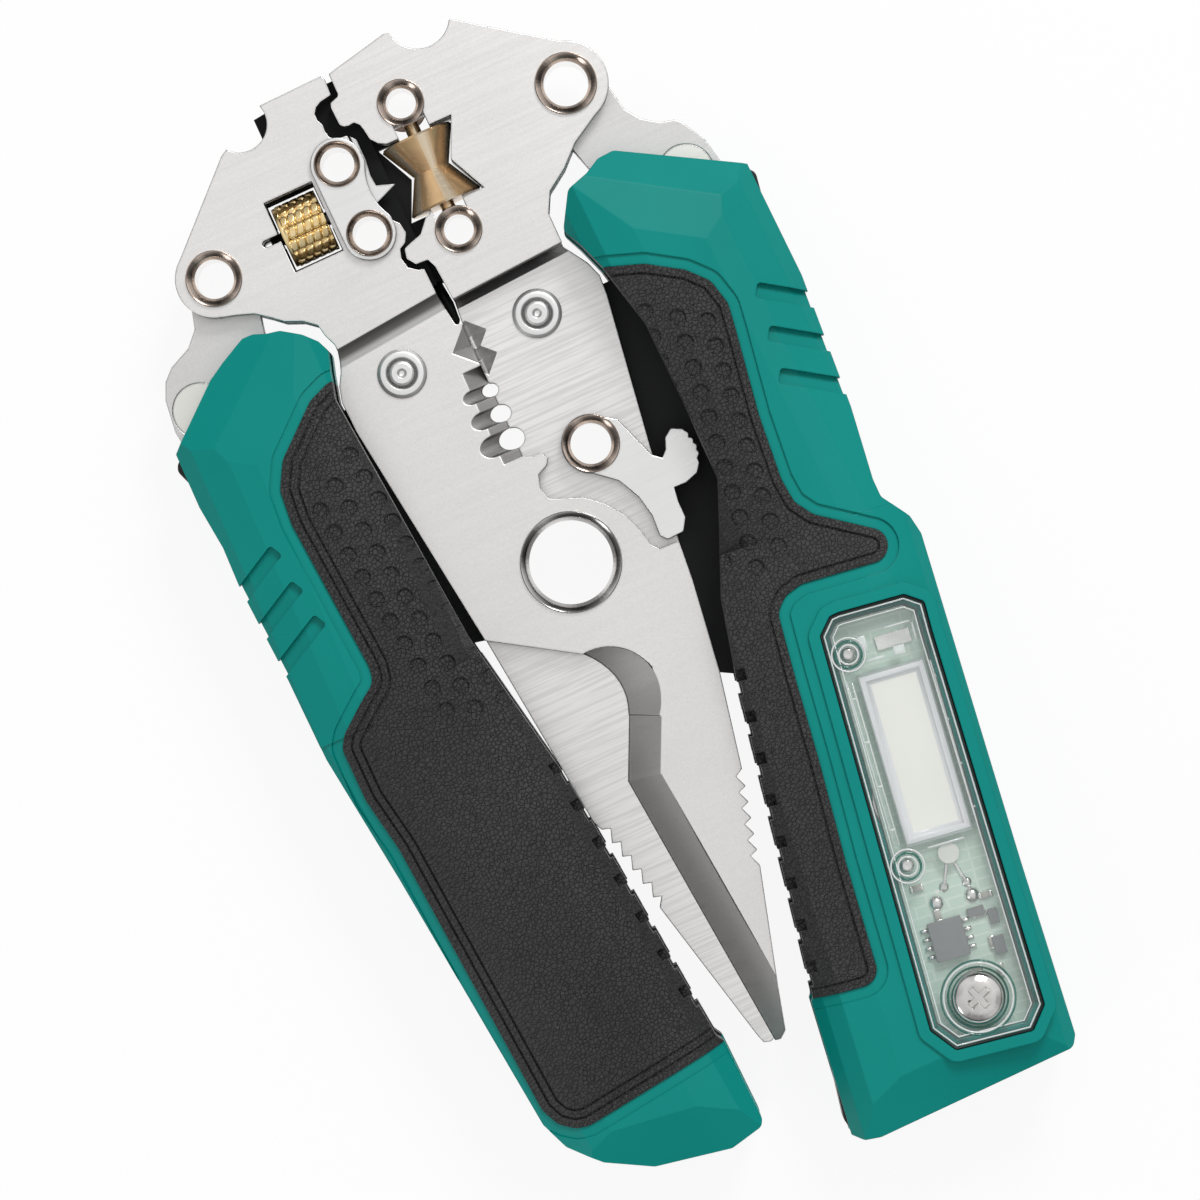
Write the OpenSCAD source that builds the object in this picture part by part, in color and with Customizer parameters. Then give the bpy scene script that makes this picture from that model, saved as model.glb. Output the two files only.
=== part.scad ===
// Fold-over wire stripping pliers, lying flat with the front face up.
// The origin is the middle of the hollow main pivot, on the plane where the
// two jaw plates slide on each other. +Y runs along the tool to its head,
// +X to the right handle, +Z out of the front face. Millimetres.

/* [Jaw plates] */
// Thickness of each jaw plate
plate_t = 3.0; // [2.6:0.1:3.4]
// Offset of the head cheeks from the sliding plane
cheek_step = 1.6; // [1.5:0.1:1.9]
// Sliding gap between the two jaw plates
slide_gap = 0.05; // [0.02:0.01:0.1]
// Height of the land left at a ground cutting edge
edge_land = 0.15; // [0.1:0.05:0.3]
// Width of the ground bevel along the nose cutting edge
nose_bevel_w = 4.7; // [3.5:0.1:5]
// Radius of the hook at the root of the nose cutting edge
hook_r = 8.0; // [7:0.1:8.5]
// Radii of the three stripping notches
notch_small_r = 0.94; // [0.5:0.02:1.1]
notch_mid_r = 1.2; // [0.8:0.02:1.4]
notch_large_r = 1.5; // [1:0.02:1.7]
// Pitch of the gripping teeth on the nose edges
tooth_pitch = 2.1; // [1.6:0.1:2.5]
// Depth of the gripping teeth
tooth_h = 1.1; // [0.4:0.1:1.2]

/* [Rivets] */
// Radius of the hole through the main pivot
main_hole_r = 5.9; // [5:0.1:6.2]
// Outer radius of the main pivot barrel
main_barrel_r = 6.5; // [6.4:0.1:7]
// Outer radius of the main pivot rim
main_rim_r = 7.2; // [7.1:0.1:7.8]
// Hole radius of the left handle pivot
left_hole_r = 2.75; // [2:0.05:3]
// Hole radius of the right handle pivot
right_hole_r = 3.15; // [2.5:0.05:3.4]
// Hole radius of the lock lever rivet
lever_hole_r = 2.87; // [2:0.01:3]
// Hole radius of the two link rivets
link_hole_r = 2.4; // [1.8:0.05:2.5]
// Hole radius of the two roller rivets
roller_hole_r = 2.1; // [1.5:0.05:2.2]
// Wall of the small hollow rivets
rivet_wall = 0.5; // [0.4:0.05:0.6]
// Width of the rim outside a small rivet barrel
rim_w = 0.75; // [0.4:0.05:0.9]
// Height of a rivet rim above its plate
rim_h = 0.6; // [0.3:0.05:0.7]
// Radial clearance of every turning fit
run_clear = 0.05; // [0.02:0.01:0.1]

/* [Slitting station] */
// Largest radius of the hourglass roller
roller_r = 5.3; // [4.5:0.1:5.4]
// Radius of the roller at its waist
roller_waist_r = 2.7; // [2:0.1:3.2]
// Length of the roller
roller_len = 10.4; // [8:0.1:10.6]
// Radius of the roller axle
axle_r = 1.05; // [0.8:0.05:1.2]
// Radius of the knurled thumbwheel
wheel_r = 4.6; // [4:0.1:4.7]
// Length of the thumbwheel
wheel_len = 6.6; // [5:0.1:6.7]
// Radius of the blade screw
screw_r = 1.0; // [0.8:0.05:1.2]
// Thread pitch of the blade screw
screw_pitch = 0.5; // [0.4:0.05:1]
// Travel of the blade towards the roller
blade_travel = 1.0; // [0.5:0.1:1.5]
// Thickness of the slitting blade
blade_t = 0.9; // [0.6:0.1:1]
// Thickness of the keeper link over the blade
link_t = 1.2; // [0.8:0.1:1.5]

/* [Handles] */
// Distance between the front and back shells, room for the jaws
channel_h = 7.0; // [6.8:0.1:7.4]
// Height of each shell above the channel
shell_h = 7.5; // [6.5:0.1:8.5]
// Depth of the grips below the crown
grip_depth = 3.0; // [2:0.1:4]
// Corner radius of the handle outlines
corner_r = 1.2; // [0.6:0.1:1.6]
// Corner radius of the rubber areas
grip_corner_r = 2.4; // [1:0.1:3]
// Width of the step that the shells have round the rubber
lip_w = 1.6; // [1:0.1:2.2]
// Depth of the step that the shells have round the rubber
lip_h = 0.35; // [0.2:0.05:0.6]
// Depth of the finger slots
slot_h = 0.9; // [0.6:0.1:1.4]
// Wrap of the grips over the inner edge of the handles
grip_wrap = 2.4; // [1.6:0.1:3]
// Thickness of the black liners behind the jaws
liner_t = 1.5; // [1:0.1:2]
// Thickness of the steel tangs
tang_t = 3.0; // [2.6:0.1:3.0]
// Wall of green round the liner
liner_wall = 1.2; // [0.8:0.1:2]
// Diameter of the handle screws
handle_screw_d = 3.0; // [2.5:0.1:3.5]
// Pitch of the edge notches of the grips
edge_pitch = 6.0; // [4:0.5:8]
// Pitch of the round dimples moulded into the grips
dimple_pitch = 3.65; // [3:0.05:4.5]
// Radius of a dimple
dimple_r = 1.2; // [0.8:0.1:1.4]
// Depth of the dimples and of the border groove of the grips
groove_h = 0.4; // [0.2:0.05:0.5]

/* [Tester] */
// Thickness of the clear cover
cover_t = 1.2; // [0.8:0.1:1.6]
// Depth of the tester pocket under the cover
pocket_h = 3.7; // [3:0.1:4.2]
// Thickness of the circuit board
pcb_t = 1.0; // [0.6:0.1:1.6]
// Thickness of the display panel
display_t = 1.4; // [1:0.1:2]
// Diameter of the button cell
cell_d = 12.0; // [8:0.5:14]
// Thickness of the button cell
cell_t = 3.0; // [1.6:0.1:3.2]
// Head diameter of the cover screw
cover_screw_head_d = 7.6; // [6:0.2:8]

/* [Hidden] */

e = 0.01;
main_pos = [0, 0];
left_pivot = [-28.9, 57.0];
right_pivot = [27.4, 61.3];
lever_pos = [9.5, 14.0];
link_pos = [[-6.5, 64.3], [-6.4, 53.6]];
roller_x = 5.2;
roller_pin_y = [49.0, 68.5];
roller_mid_y = (roller_pin_y[0] + roller_pin_y[1]) / 2 - 0.3;
rivet_a_pos = [-10.5, 34.0];
rivet_b_pos = [10.3, 33.9];
wheel_mid = [-14.45, 58.4];
cheek_top = cheek_step + plate_t;
// The bevel beside the stripping notches is ground at 45 degrees
bevel_w = plate_t - edge_land;
chan = channel_h / 2;
crown_z = chan + shell_h;
left_barrel_r = left_hole_r + rivet_wall;
right_barrel_r = right_hole_r + rivet_wall;
lever_barrel_r = lever_hole_r + rivet_wall;
link_barrel_r = link_hole_r + rivet_wall;
roller_barrel_r = roller_hole_r + rivet_wall;
spring_r = 8.1;
spring_wire = 0.9;
$fn = 64;

// Colours
steel = [0.86, 0.85, 0.84];
bright = [0.93, 0.92, 0.92];
bronze = [0.48, 0.38, 0.31];
black = [0.05, 0.05, 0.055];
brass = [0.80, 0.62, 0.34];
green = [0.06, 0.52, 0.47];
rubber = [0.16, 0.16, 0.165];

// Plan outlines of the head. The jagged gap sides are the wire grips.
gap_a = [[-1.4, 41.8], [-1.5, 46.0], [-2.3, 46.2], [-3.5, 47.1], [-3.8, 48.6],
  [-3.4, 49.9], [-2.4, 50.4], [-1.7, 51.6], [-1.9, 53.2], [-2.9, 54.3],
  [-4.4, 58.4], [-3.4, 63.0], [-3.5, 67.5], [-4.4, 67.6], [-5.3, 67.9],
  [-5.9, 68.3], [-6.1, 69.4], [-6.0, 70.3], [-6.4, 71.1], [-6.4, 72.1],
  [-5.8, 72.9], [-5.0, 73.3], [-3.2, 73.6], [-3.1, 76.0], [-3.4, 76.6]];
gap_b = [[-2.3, 76.4], [-2.3, 73.3], [-2.5, 73.0], [-3.8, 72.6], [-4.0, 71.9],
  [-3.9, 69.3], [-3.5, 68.8], [-2.8, 68.6], [-1.9, 68.7], [-1.3, 68.1],
  [-1.1, 67.2], [-0.9, 65.7], [-0.1, 64.7], [1.1, 64.0], [2.4, 63.9],
  [2.4, 52.6], [1.7, 52.5], [0.0, 50.6], [-1.8, 50.1], [-2.9, 49.7],
  [-3.2, 48.3], [-2.3, 47.0], [-0.5, 46.9], [0.0, 45.6], [0.4, 40.2],
  [0.1, 36.8]];
// Left head from the gap's top round to the step line
head_a = [[-13.4, 76.4], [-20.8, 72.2], [-28.2, 65.2], [-32.2, 61.4],
  [-30.4, 51.7], [-28.3, 51.1], [-25.8, 50.2], [-24.0, 48.8], [-22.4, 47.4],
  [-20.1, 46.4], [-18.4, 45.0], [-18.1, 43.3], [-17.4, 41.5]];
// Right head from the step line round to the gap's top
head_b = [[17.6, 40.9], [17.6, 45.7], [19.1, 48.5], [22.3, 50.6],
  [25.1, 53.2], [30.9, 56.5], [32.2, 64.8], [16.6, 76.2], [7.0, 78.3]];
blade_a_left = [[-17.4, 40.5], [-17.8, 39.0], [-18.3, 37.7], [-19.3, 36.0],
  [-19.9, 33.8], [-19.8, 29.2], [-15.6, -5.0]];
// Hook of the nose: a leaning round cutter grinds it and its bevel
hook_tip = [-0.8, -19.3];
elbow = [-5.7, -31.4];
hook_lean = atan(nose_bevel_w / plate_t / 0.9);
hook_b = hook_r / cos(hook_lean);
hook_a = concat([for (t = [24.8 : -4.2 : -13]) hook_tip + [(cos(t) - 1)
  * hook_b / cos(hook_lean), sin(t) * hook_b]], [elbow]);
tip_a = [[-2.1, -73.3], [-1.2, -73.4], [-0.1, -72.5], [1.6, -66.1]];
side_a = [[12.6, -22.6], [14.5, -9.4], [15.0, -4.0], [14.8, -3.6]];
seam_a = [[12.1, -3.5], [11.2, -2.4], [10.8, -0.2], [9.7, 2.8], [7.7, 5.6],
  [5.3, 7.6], [2.5, 8.7], [0.9, 9.4], [0.4, 11.2], [1.0, 13.1], [2.6, 13.8],
  [3.2, 14.7], [2.5, 15.8], [1.2, 15.8], [0.0, 16.4]];
side_b = [[15.0, -4.5], [16.7, 8.5], [20.4, 32.2], [20.6, 35.1],
  [19.8, 37.4]];

function dir(a) = [cos(a), sin(a)];

// One gripping edge: teeth stand out from the line p to q, root is the place
// of a tooth's valley within the pitch
function teeth(p, q, h, root) = let (n = floor(norm(q - p) / tooth_pitch),
    d = (q - p) / n, w = [-d[1], d[0]] / norm(d))
  [for (i = [0 : n - 1]) for (s = [0, 1])
    p + d * (i + (s == 0 ? 0.02 : root)) + w * (s == 0 ? -h : 0)];

module plan_a_all() {
  difference() {
    union() {
      polygon(concat(gap_a, head_a, blade_a_left, hook_a, tip_a,
        [[6.1, -50.6]],
        teeth([5.25, -49.6], [8.65, -36.4], tooth_h, 0.69), [[9.7, -36.4]],
        side_a, seam_a, [[0, 36.8], [-0.8, 37.2]]));
      translate(left_pivot) circle(r = 5.5);
    }
    translate([-16.7, 75.2]) circle(r = 3.9);
  }
}

module plan_b_all() {
  difference() {
    union() {
      polygon(concat(gap_b, [[0, 36.8], [0, 16.4], [-4, 14.6], [-9, 10.0],
        [-13.4, 3.0], [-15.5, -5.2], [-12.5, -34.6]],
        teeth([-10.8, -35.8], [-7.7, -49.85], tooth_h, 0.27),
        [[-9.0, -49.5], [-4.0, -71.7], [-3.6, -72.9], [-2.6, -73.2],
        [-1.3, -72.6], [-4.5, -31.6], [0.2, -25], [1.2, -20.5], [1.4, -17],
        [4.2, -14.2], [9, -12.6]], side_b, head_b));
      translate(right_pivot) circle(r = 6.0);
    }
    translate([12.3, 78.6]) circle(r = 4.55);
  }
}

// Side view of a joggled plate: blade plane below the step line, cheek above
module joggle(step_y, tilt, soft, low) {
  translate([0, step_y]) rotate([0, 0, tilt]) rotate([90, 0, 90])
    translate([0, 0, -60]) linear_extrude(120)
      polygon([[-130, low], [-soft, low], [soft, cheek_step], [60, cheek_step],
        [60, cheek_top], [soft, cheek_top], [-soft, plate_t],
        [-130, plate_t]]);
}

// Windows for the thumbwheel, its screw end and the blade lug
module wheel_window() {
  translate(wheel_mid) square([wheel_len + 0.8, 2 * wheel_r + 1.4], true);
  translate([-20.2, wheel_mid[1]]) hull() {
    circle(r = 0.5);
    translate([3, 0]) circle(r = 0.5);
  }
}
module lug_window(grow) {
  translate([-8.4 + blade_travel / 2, wheel_mid[1]])
    square([2.4 + blade_travel + grow, 3.0 + grow], true);
}
module roller_plan(grow) {
  y0 = roller_mid_y - roller_len / 2 - grow;
  y1 = roller_mid_y + roller_len / 2 + grow;
  translate([roller_x, 0]) polygon([[-roller_r - grow, y0],
    [roller_r + grow, y0], [roller_waist_r + grow, roller_mid_y],
    [roller_r + grow, y1], [-roller_r - grow, y1],
    [-roller_waist_r - grow, roller_mid_y]]);
}
module roller_window() {
  roller_plan(0.4);
  translate([roller_x, (roller_pin_y[0] + roller_pin_y[1]) / 2])
    square([2 * roller_hole_r + 0.5,
      roller_pin_y[1] - roller_pin_y[0] - 2 * roller_hole_r - 0.5], true);
}
module holes_at(points, r) {
  for (p = points) translate(p) circle(r = r);
}

// Ground bevel of jaw A's notches, with slanted half-round grooves
module notch_bevel() {
  rotate([90, 0, 0]) translate([0, 0, -30.4]) linear_extrude(14.0)
    polygon([[-bevel_w, plate_t], [0, edge_land], [3, edge_land],
      [3, plate_t + 1], [-bevel_w - 1, plate_t + 1]]);
  for (n = [[26.8, notch_small_r], [23.2, notch_mid_r], [19.3, notch_large_r]])
    translate([0, n[0], 0]) rotate([0, -45, 0]) translate([0, 0, -2.4])
      cylinder(r = n[1], h = 9);
  // Faceted crimping notch
  translate([0, 33.6, -e]) cylinder(r1 = 0, r2 = 2.9, h = plate_t + 2 * e,
    $fn = 4);
}

// Ground bevel of jaw A's nose: the leaning round cut in the hook, which
// ends in a round wall, then the short and the long straight edge
module nose_bevel() {
  intersection() {
    translate([hook_tip[0] - 0.1, hook_tip[1], 0]) rotate([0, hook_lean, 0])
      translate([-hook_b, 0, -30]) cylinder(r = hook_b, h = 60);
    translate([-3.1, -19.85, -1]) cylinder(r = 7.45, h = plate_t + 2);
  }
  edge_wedge(hook_a[len(hook_a) - 2], elbow, 0);
  edge_wedge(elbow, [-2.1, -73.3], 9);
}
// Wedge over the line p to q, material kept on the left of p to q
module edge_wedge(p, q, before) {
  d = q - p;
  translate(p) rotate([0, 0, atan2(d[1], d[0])]) rotate([90, 0, 90])
    translate([0, 0, -before]) linear_extrude(norm(d) + before + 9)
      polygon([[-6, -e], [0, 0], [nose_bevel_w, plate_t],
        [nose_bevel_w, plate_t + 1], [-6, plate_t + 1]]);
}

module jaw_a() {
  color(steel) difference() {
    intersection() {
      linear_extrude(cheek_top + 1) plan_a_all();
      joggle(41.1, 5, 1.3, 0);
    }
    notch_bevel();
    nose_bevel();
    translate([0, 0, -1]) {
      cylinder(r = main_barrel_r, h = 9);
      linear_extrude(9) {
        wheel_window();
        lug_window(0.2);
        holes_at(link_pos, link_barrel_r);
        holes_at([left_pivot], left_barrel_r);
        holes_at([rivet_a_pos], 1.6);
      }
    }
    // Pocket in which the blade slides under the keeper link
    translate([0, 0, cheek_top - blade_t]) linear_extrude(3)
      for (x = [0, blade_travel]) translate([x, 0]) blade_plan(0.1);
    spring_recess();
  }
}
module jaw_a_back_cheek() {
  color(steel) mirror([0, 0, 1]) difference() {
    intersection() {
      linear_extrude(cheek_top + 1) intersection() {
        plan_a_all();
        polygon([[-40, 29.5], [-14.0, 29.5], [-4.4, 33.5], [-4.4, 41],
          [4, 41], [4, 80], [-40, 80]]);
      }
      joggle(41.1, 5, 1.3, 0);
    }
    translate([0, 0, -1]) linear_extrude(9) {
      wheel_window();
      holes_at(link_pos, link_barrel_r);
      holes_at([left_pivot], left_barrel_r);
      holes_at([rivet_a_pos], 1.6);
    }
  }
}
module jaw_b() {
  color(steel) mirror([0, 0, 1]) difference() {
    intersection() {
      linear_extrude(cheek_top + 1) plan_b_all();
      joggle(40.4, 3, 1.3, slide_gap);
    }
    translate([0, 0, -1]) {
      cylinder(r = main_barrel_r + run_clear, h = 9);
      linear_extrude(9) {
        roller_window();
        for (y = roller_pin_y) translate([roller_x, y])
          circle(r = roller_barrel_r);
        holes_at([right_pivot], right_barrel_r);
        holes_at([lever_pos], lever_barrel_r);
        holes_at([rivet_b_pos], 1.6);
        translate([0, 26.8]) circle(r = notch_small_r);
        translate([0, 23.2]) circle(r = notch_mid_r);
        translate([0, 19.3]) circle(r = notch_large_r);
      }
    }
    // Two faceted teeth notches facing jaw A's crimping notch
    for (y = [34.9, 31.3]) translate([0.5, y, -e])
      cylinder(r1 = 2.5, r2 = 0, h = 2.0, $fn = 4);
    spring_recess();
  }
}
module jaw_b_front_cheek() {
  color(steel) difference() {
    translate([0, 0, cheek_step]) linear_extrude(plate_t) intersection() {
      plan_b_all();
      translate([0, 40.4]) rotate([0, 0, 3]) translate([-20, 0])
        square([80, 60]);
    }
    translate([0, 0, -1]) linear_extrude(9) {
      roller_window();
      for (y = roller_pin_y) translate([roller_x, y])
        circle(r = roller_barrel_r);
      holes_at([right_pivot], right_barrel_r);
    }
  }
}

// Ring-shaped recess for the return spring, half in each jaw plate
module spring_recess() {
  rotate_extrude() translate([spring_r - spring_wire / 2 - 0.1, -1])
    square([spring_wire + 0.2, 1 + spring_wire + 0.1]);
}

// Black grips in the head. Each is full height away from the gap and half
// height across it, so that the two slide past each other.
module insert_a() {
  color(black) difference() {
    union() {
      translate([0, 0, -cheek_step]) linear_extrude(2 * cheek_step)
        difference() {
          polygon([[-14.6, 75.2], [-11, 75.6], [-7.6, 75.6], [-7.6, 66],
            [-5.6, 62], [-5.6, 56], [-4.8, 52], [-4.8, 43.4], [-16.8, 43.4],
            [-16.9, 46], [-18.0, 49], [-20.4, 51.5], [-22.2, 54],
            [-22.2, 60.8], [-18.6, 62.4], [-14.6, 64.4]]);
        }
      translate([0, 0, slide_gap])
        linear_extrude(cheek_step - 2 * slide_gap) polygon([[-8, 75.6],
          [-2.0, 75.6], [-0.8, 68.6], [-0.8, 43.4], [-8, 43.4]]);
    }
    translate([0, 0, -4]) linear_extrude(8) {
      wheel_window();
      lug_window(0.6);
      holes_at(link_pos, link_barrel_r + run_clear);
      roller_plan(0.35);
    }
    translate([-22, wheel_mid[1], 0]) rotate([0, 90, 0])
      cylinder(r = screw_r + run_clear, h = 15);
  }
}
module insert_b() {
  color(black) difference() {
    union() {
      translate([0, 0, -cheek_step]) linear_extrude(2 * cheek_step)
        polygon([[2.6, 75.6], [10, 74.2], [9.4, 72], [12.6, 68], [14.2, 64],
          [15.6, 58], [16.6, 52], [15.6, 44], [15, 43.4], [2.6, 43.4]]);
      translate([0, 0, -cheek_step + slide_gap])
        linear_extrude(cheek_step - 2 * slide_gap)
          polygon([[3, 75.6], [-4.4, 75.6], [-7.0, 73.4], [-7.0, 68.2],
            [-3.2, 67.8], [-3.2, 50.4], [-4.4, 49.8], [-4.4, 46],
            [-2.4, 43.4], [3, 43.4]]);
    }
    translate([0, 0, -4]) linear_extrude(8) {
      roller_window();
      for (y = roller_pin_y) translate([roller_x, y])
        circle(r = roller_barrel_r);
    }
  }
}

// Hollow rivet with a flared, bevelled rim on both faces
module eyelet(hole_r, barrel_r, rim_r, z0, z1) {
  c = barrel_r - hole_r + 0.2;
  rotate_extrude() polygon([[hole_r, z1 - c], [barrel_r - 0.1, z1 + 0.1],
    [rim_r - 0.12, z1 + rim_h], [rim_r, z1 + rim_h - 0.12], [rim_r, z1],
    [barrel_r, z1], [barrel_r, z0], [rim_r, z0],
    [rim_r, z0 - rim_h + 0.12], [rim_r - 0.12, z0 - rim_h],
    [barrel_r - 0.1, z0 - 0.1], [hole_r, z0 + c]]);
}
module main_pivot_rivet() {
  color(steel) eyelet(main_hole_r, main_barrel_r, main_rim_r,
    -plate_t - slide_gap, plate_t);
}
module left_pivot_rivet() {
  color(bronze) translate(left_pivot) eyelet(left_hole_r, left_barrel_r,
    left_barrel_r + rim_w, -cheek_top, cheek_top);
}
module right_pivot_rivet() {
  color(bronze) translate(right_pivot) eyelet(right_hole_r, right_barrel_r,
    right_barrel_r + rim_w, -cheek_top, cheek_top);
}
module link_rivets() {
  color(bronze) for (p = link_pos) translate(p) eyelet(link_hole_r,
    link_barrel_r, link_barrel_r + rim_w / 2, -cheek_top,
    cheek_top + link_t);
}
module roller_rivets() {
  color(bronze) difference() {
    for (y = roller_pin_y) translate([roller_x, y]) eyelet(roller_hole_r,
      roller_barrel_r, roller_barrel_r + rim_w, -cheek_top, cheek_top);
    axle_shape(0);
  }
}
// Solid rivet with a stepped, dimpled head
module dimple_rivet(z0, z1) {
  rotate_extrude() polygon([[0, z0 - 0.9], [2.4, z0 - 0.9], [3.0, z0 - 0.3],
    [3.0, z0], [1.6, z0], [1.6, z1], [3.5, z1], [3.5, z1 + 0.35],
    [3.0, z1 + 0.7], [2.3, z1 + 0.75], [1.9, z1 + 0.35], [1.75, z1 + 0.9],
    [1.4, z1 + 1.1], [0.7, z1 + 1.1], [0.35, z1 + 0.8], [0, z1 + 0.75]]);
}
module jaw_a_rivet() {
  color(bright) translate(rivet_a_pos) dimple_rivet(-plate_t, plate_t);
}
module jaw_b_rivet() {
  color(bright) translate(rivet_b_pos) dimple_rivet(-plate_t - 0.45,
    -slide_gap);
}

module return_spring() {
  color(bright) {
    for (s = [-1, 1]) rotate_extrude() translate([spring_r,
      s * (spring_wire / 2 + 0.03)]) circle(r = spring_wire / 2, $fn = 24);
  }
}

// Keeper link: dog-bone over the two link rivets
module link_plan() {
  difference() {
    hull() for (p = link_pos) translate(p) circle(r = 3.75);
    translate([4.6, (link_pos[0][1] + link_pos[1][1]) / 2]) circle(r = 8.4);
  }
}
module link_plate() {
  color(bright) translate([0, 0, cheek_top]) linear_extrude(link_t)
    difference() {
      link_plan();
      holes_at(link_pos, link_barrel_r);
    }
}
// Blade: plate with a hawk-bill tip and slots round the link rivets
module blade_plan(grow) {
  offset(delta = grow) polygon([[-9.9, 60.9], [-4.2, 60.9], [-3.25, 62.0],
    [-3.25, 67.2], [-2.6, 66.4], [-2.6, 63.4], [-2.9, 61.0], [-2.8, 59.4],
    [-0.2, 58.5], [-4.0, 57.0], [-9.9, 57.0]]);
}
module slitting_blade() {
  color(bright) difference() {
    union() {
      translate([0, 0, cheek_top - blade_t]) linear_extrude(blade_t)
        blade_plan(0);
      translate([-9.5, wheel_mid[1] - 1.4, -1.4])
        cube([2.2, 2.8, cheek_top + 1.4 - blade_t / 2]);
    }
    translate([-14, wheel_mid[1], 0]) rotate([0, 90, 0])
      cylinder(r = screw_r + run_clear, h = 10);
  }
}
module thumbwheel() {
  color(brass) translate([wheel_mid[0] - wheel_len / 2, wheel_mid[1], 0])
    rotate([0, 90, 0]) difference() {
      linear_extrude(wheel_len) difference() {
        circle(r = wheel_r);
        for (i = [0 : 23]) rotate([0, 0, i * 15]) translate([wheel_r, 0])
          circle(r = 0.3, $fn = 8);
      }
      translate([0, 0, -1]) cylinder(r = screw_r, h = wheel_len + 2);
    }
}
module blade_screw() {
  color(brass) translate([-19.6, wheel_mid[1], 0]) rotate([0, 90, 0])
    rotate_extrude() polygon(concat([[0, 0]], [for (z = [0 : screw_pitch : 1.6])
      for (s = [0, 1]) [screw_r - 0.15 + 0.15 * s, z + s * screw_pitch / 2]],
      [[screw_r, 13.2], [screw_r - 0.2, 13.4], [0, 13.4]]));
}

// Hourglass roller on its axle
module roller() {
  color(brass) translate([roller_x, roller_mid_y, 0]) rotate([-90, 0, 0])
    rotate_extrude() polygon([[axle_r + run_clear, -roller_len / 2],
      [roller_r - 0.2, -roller_len / 2], [roller_r, -roller_len / 2 + 0.3],
      [roller_waist_r, 0], [roller_r, roller_len / 2 - 0.3],
      [roller_r - 0.2, roller_len / 2], [axle_r + run_clear, roller_len / 2]]);
}
module axle_shape(grow) {
  translate([roller_x, roller_pin_y[0] + roller_hole_r + 0.1, 0])
    rotate([-90, 0, 0]) cylinder(r = axle_r + grow,
      h = roller_pin_y[1] - roller_pin_y[0] - 2 * roller_hole_r - 0.2);
}
module roller_axle() {
  color(brass) axle_shape(0);
}

// Lock lever lying on jaw B, its foot in jaw A's pocket
module lever_plan() {
  difference() {
    union() {
      translate(lever_pos) circle(r = 4.2);
      offset(r = 0.5) offset(delta = -0.5) polygon([[10.8, 18.0],
        [14.3, 15.6], [16.7, 8.9], [17.8, 8.0], [18.7, 8.9], [19.3, 10.4],
        [20.6, 11.3], [22.0, 10.6], [22.7, 9.6], [22.4, 9.1], [23.0, 8.7],
        [22.7, 8.1], [23.1, 7.6], [22.7, 7.0], [22.9, 6.4], [22.3, 5.9],
        [22.3, 5.2], [21.4, 4.0], [19.4, 3.4], [17.6, 3.5], [17.3, 1.4],
        [17.3, -1.0], [16.2, -2.7], [13.7, -2.8], [12.9, -1.8],
        [13.1, 1.2], [12.5, 4.4], [10.9, 7.6], [8.2, 9.9], [8, 14]]);
    }
    translate(lever_pos) circle(r = lever_barrel_r + run_clear);
  }
}
module lock_lever() {
  color(bright) linear_extrude(plate_t - 0.1) lever_plan();
}
module lever_rivet() {
  color(bronze) translate(lever_pos) eyelet(lever_hole_r, lever_barrel_r,
    lever_barrel_r + rim_w, -plate_t - 0.45, plate_t - 0.05);
}
module lever_spring() {
  color(bright) translate([0, 0, -plate_t - 0.45]) linear_extrude(0.45)
    difference() {
      union() {
        hull() {
          translate(rivet_b_pos) circle(r = 2.6);
          translate(lever_pos) circle(r = 2.6);
        }
        translate(lever_pos) circle(r = 5.2);
      }
      holes_at([rivet_b_pos], 1.6);
      holes_at([lever_pos], lever_barrel_r);
    }
}

// Plan outlines of the handles, folded beside the jaws
left_top = [[-28.7, 47.5], [-27.1, 47.4], [-25.2, 46.6], [-23.4, 46.2],
  [-20.8, 44.4], [-19.1, 42.6], [-18.5, 40.9], [-19.3, 38.4],
  [-20.4, 34.3]];
left_inner = [[-17.4, -3.6], [-13.1, -27.6], [-9.2, -68.6], [-8.5, -69.7],
  [-8.2, -81.8], [-8.8, -82.7]];
left_end = [[-13.7, -83.8], [-24.6, -81.6], [-30.8, -78.0], [-34.7, -73.9],
  [-36.4, -69.8]];
left_outer = [[-40.3, -30.3], [-42.6, -10.9], [-42.8, 1.5], [-43.6, 16.1],
  [-43.4, 22.1], [-44.4, 31.8], [-45.4, 34.6], [-45.1, 35.8],
  [-35.2, 44.1], [-32.6, 45.6]];
right_top = [[29.4, 49.8], [26.9, 49.6], [24.6, 48.3], [21.3, 47.3],
  [18.4, 42.6], [19.8, 39.6], [21.2, 35.6]];
right_inner = [[23.4, 26], [23.6, 13], [23.5, 2], [21.6, -2.5],
  [16.9, -13.5], [14.3, -24.0], [5.3, -69.7], [4.7, -70.1],
  [1.5, -87.2]];
right_end = [[2.0, -89.1], [3.5, -90.5], [5.8, -91.1], [35.5, -90.9],
  [36.5, -89.5]];
right_outer = [[39.7, -64.2], [46.2, -16.8], [45.7, -13.9], [43.1, -9.8],
  [43.1, -7.1], [44.6, 3.4], [45.9, 20.0], [46.4, 26.1], [46.1, 33.9],
  [47.0, 38.6], [46.8, 39.7]];
// Rounds the corners of an outline
module rounded(r) {
  offset(r = -r, $fn = 32) offset(delta = r) offset(r = r, $fn = 32)
    offset(delta = -r) children();
}
module left_plan() {
  rounded(corner_r) polygon(concat(left_top, left_inner, left_end,
    left_outer));
}
module right_plan() {
  rounded(corner_r) polygon(concat(right_top, right_inner, right_end,
    right_outer));
}
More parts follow.
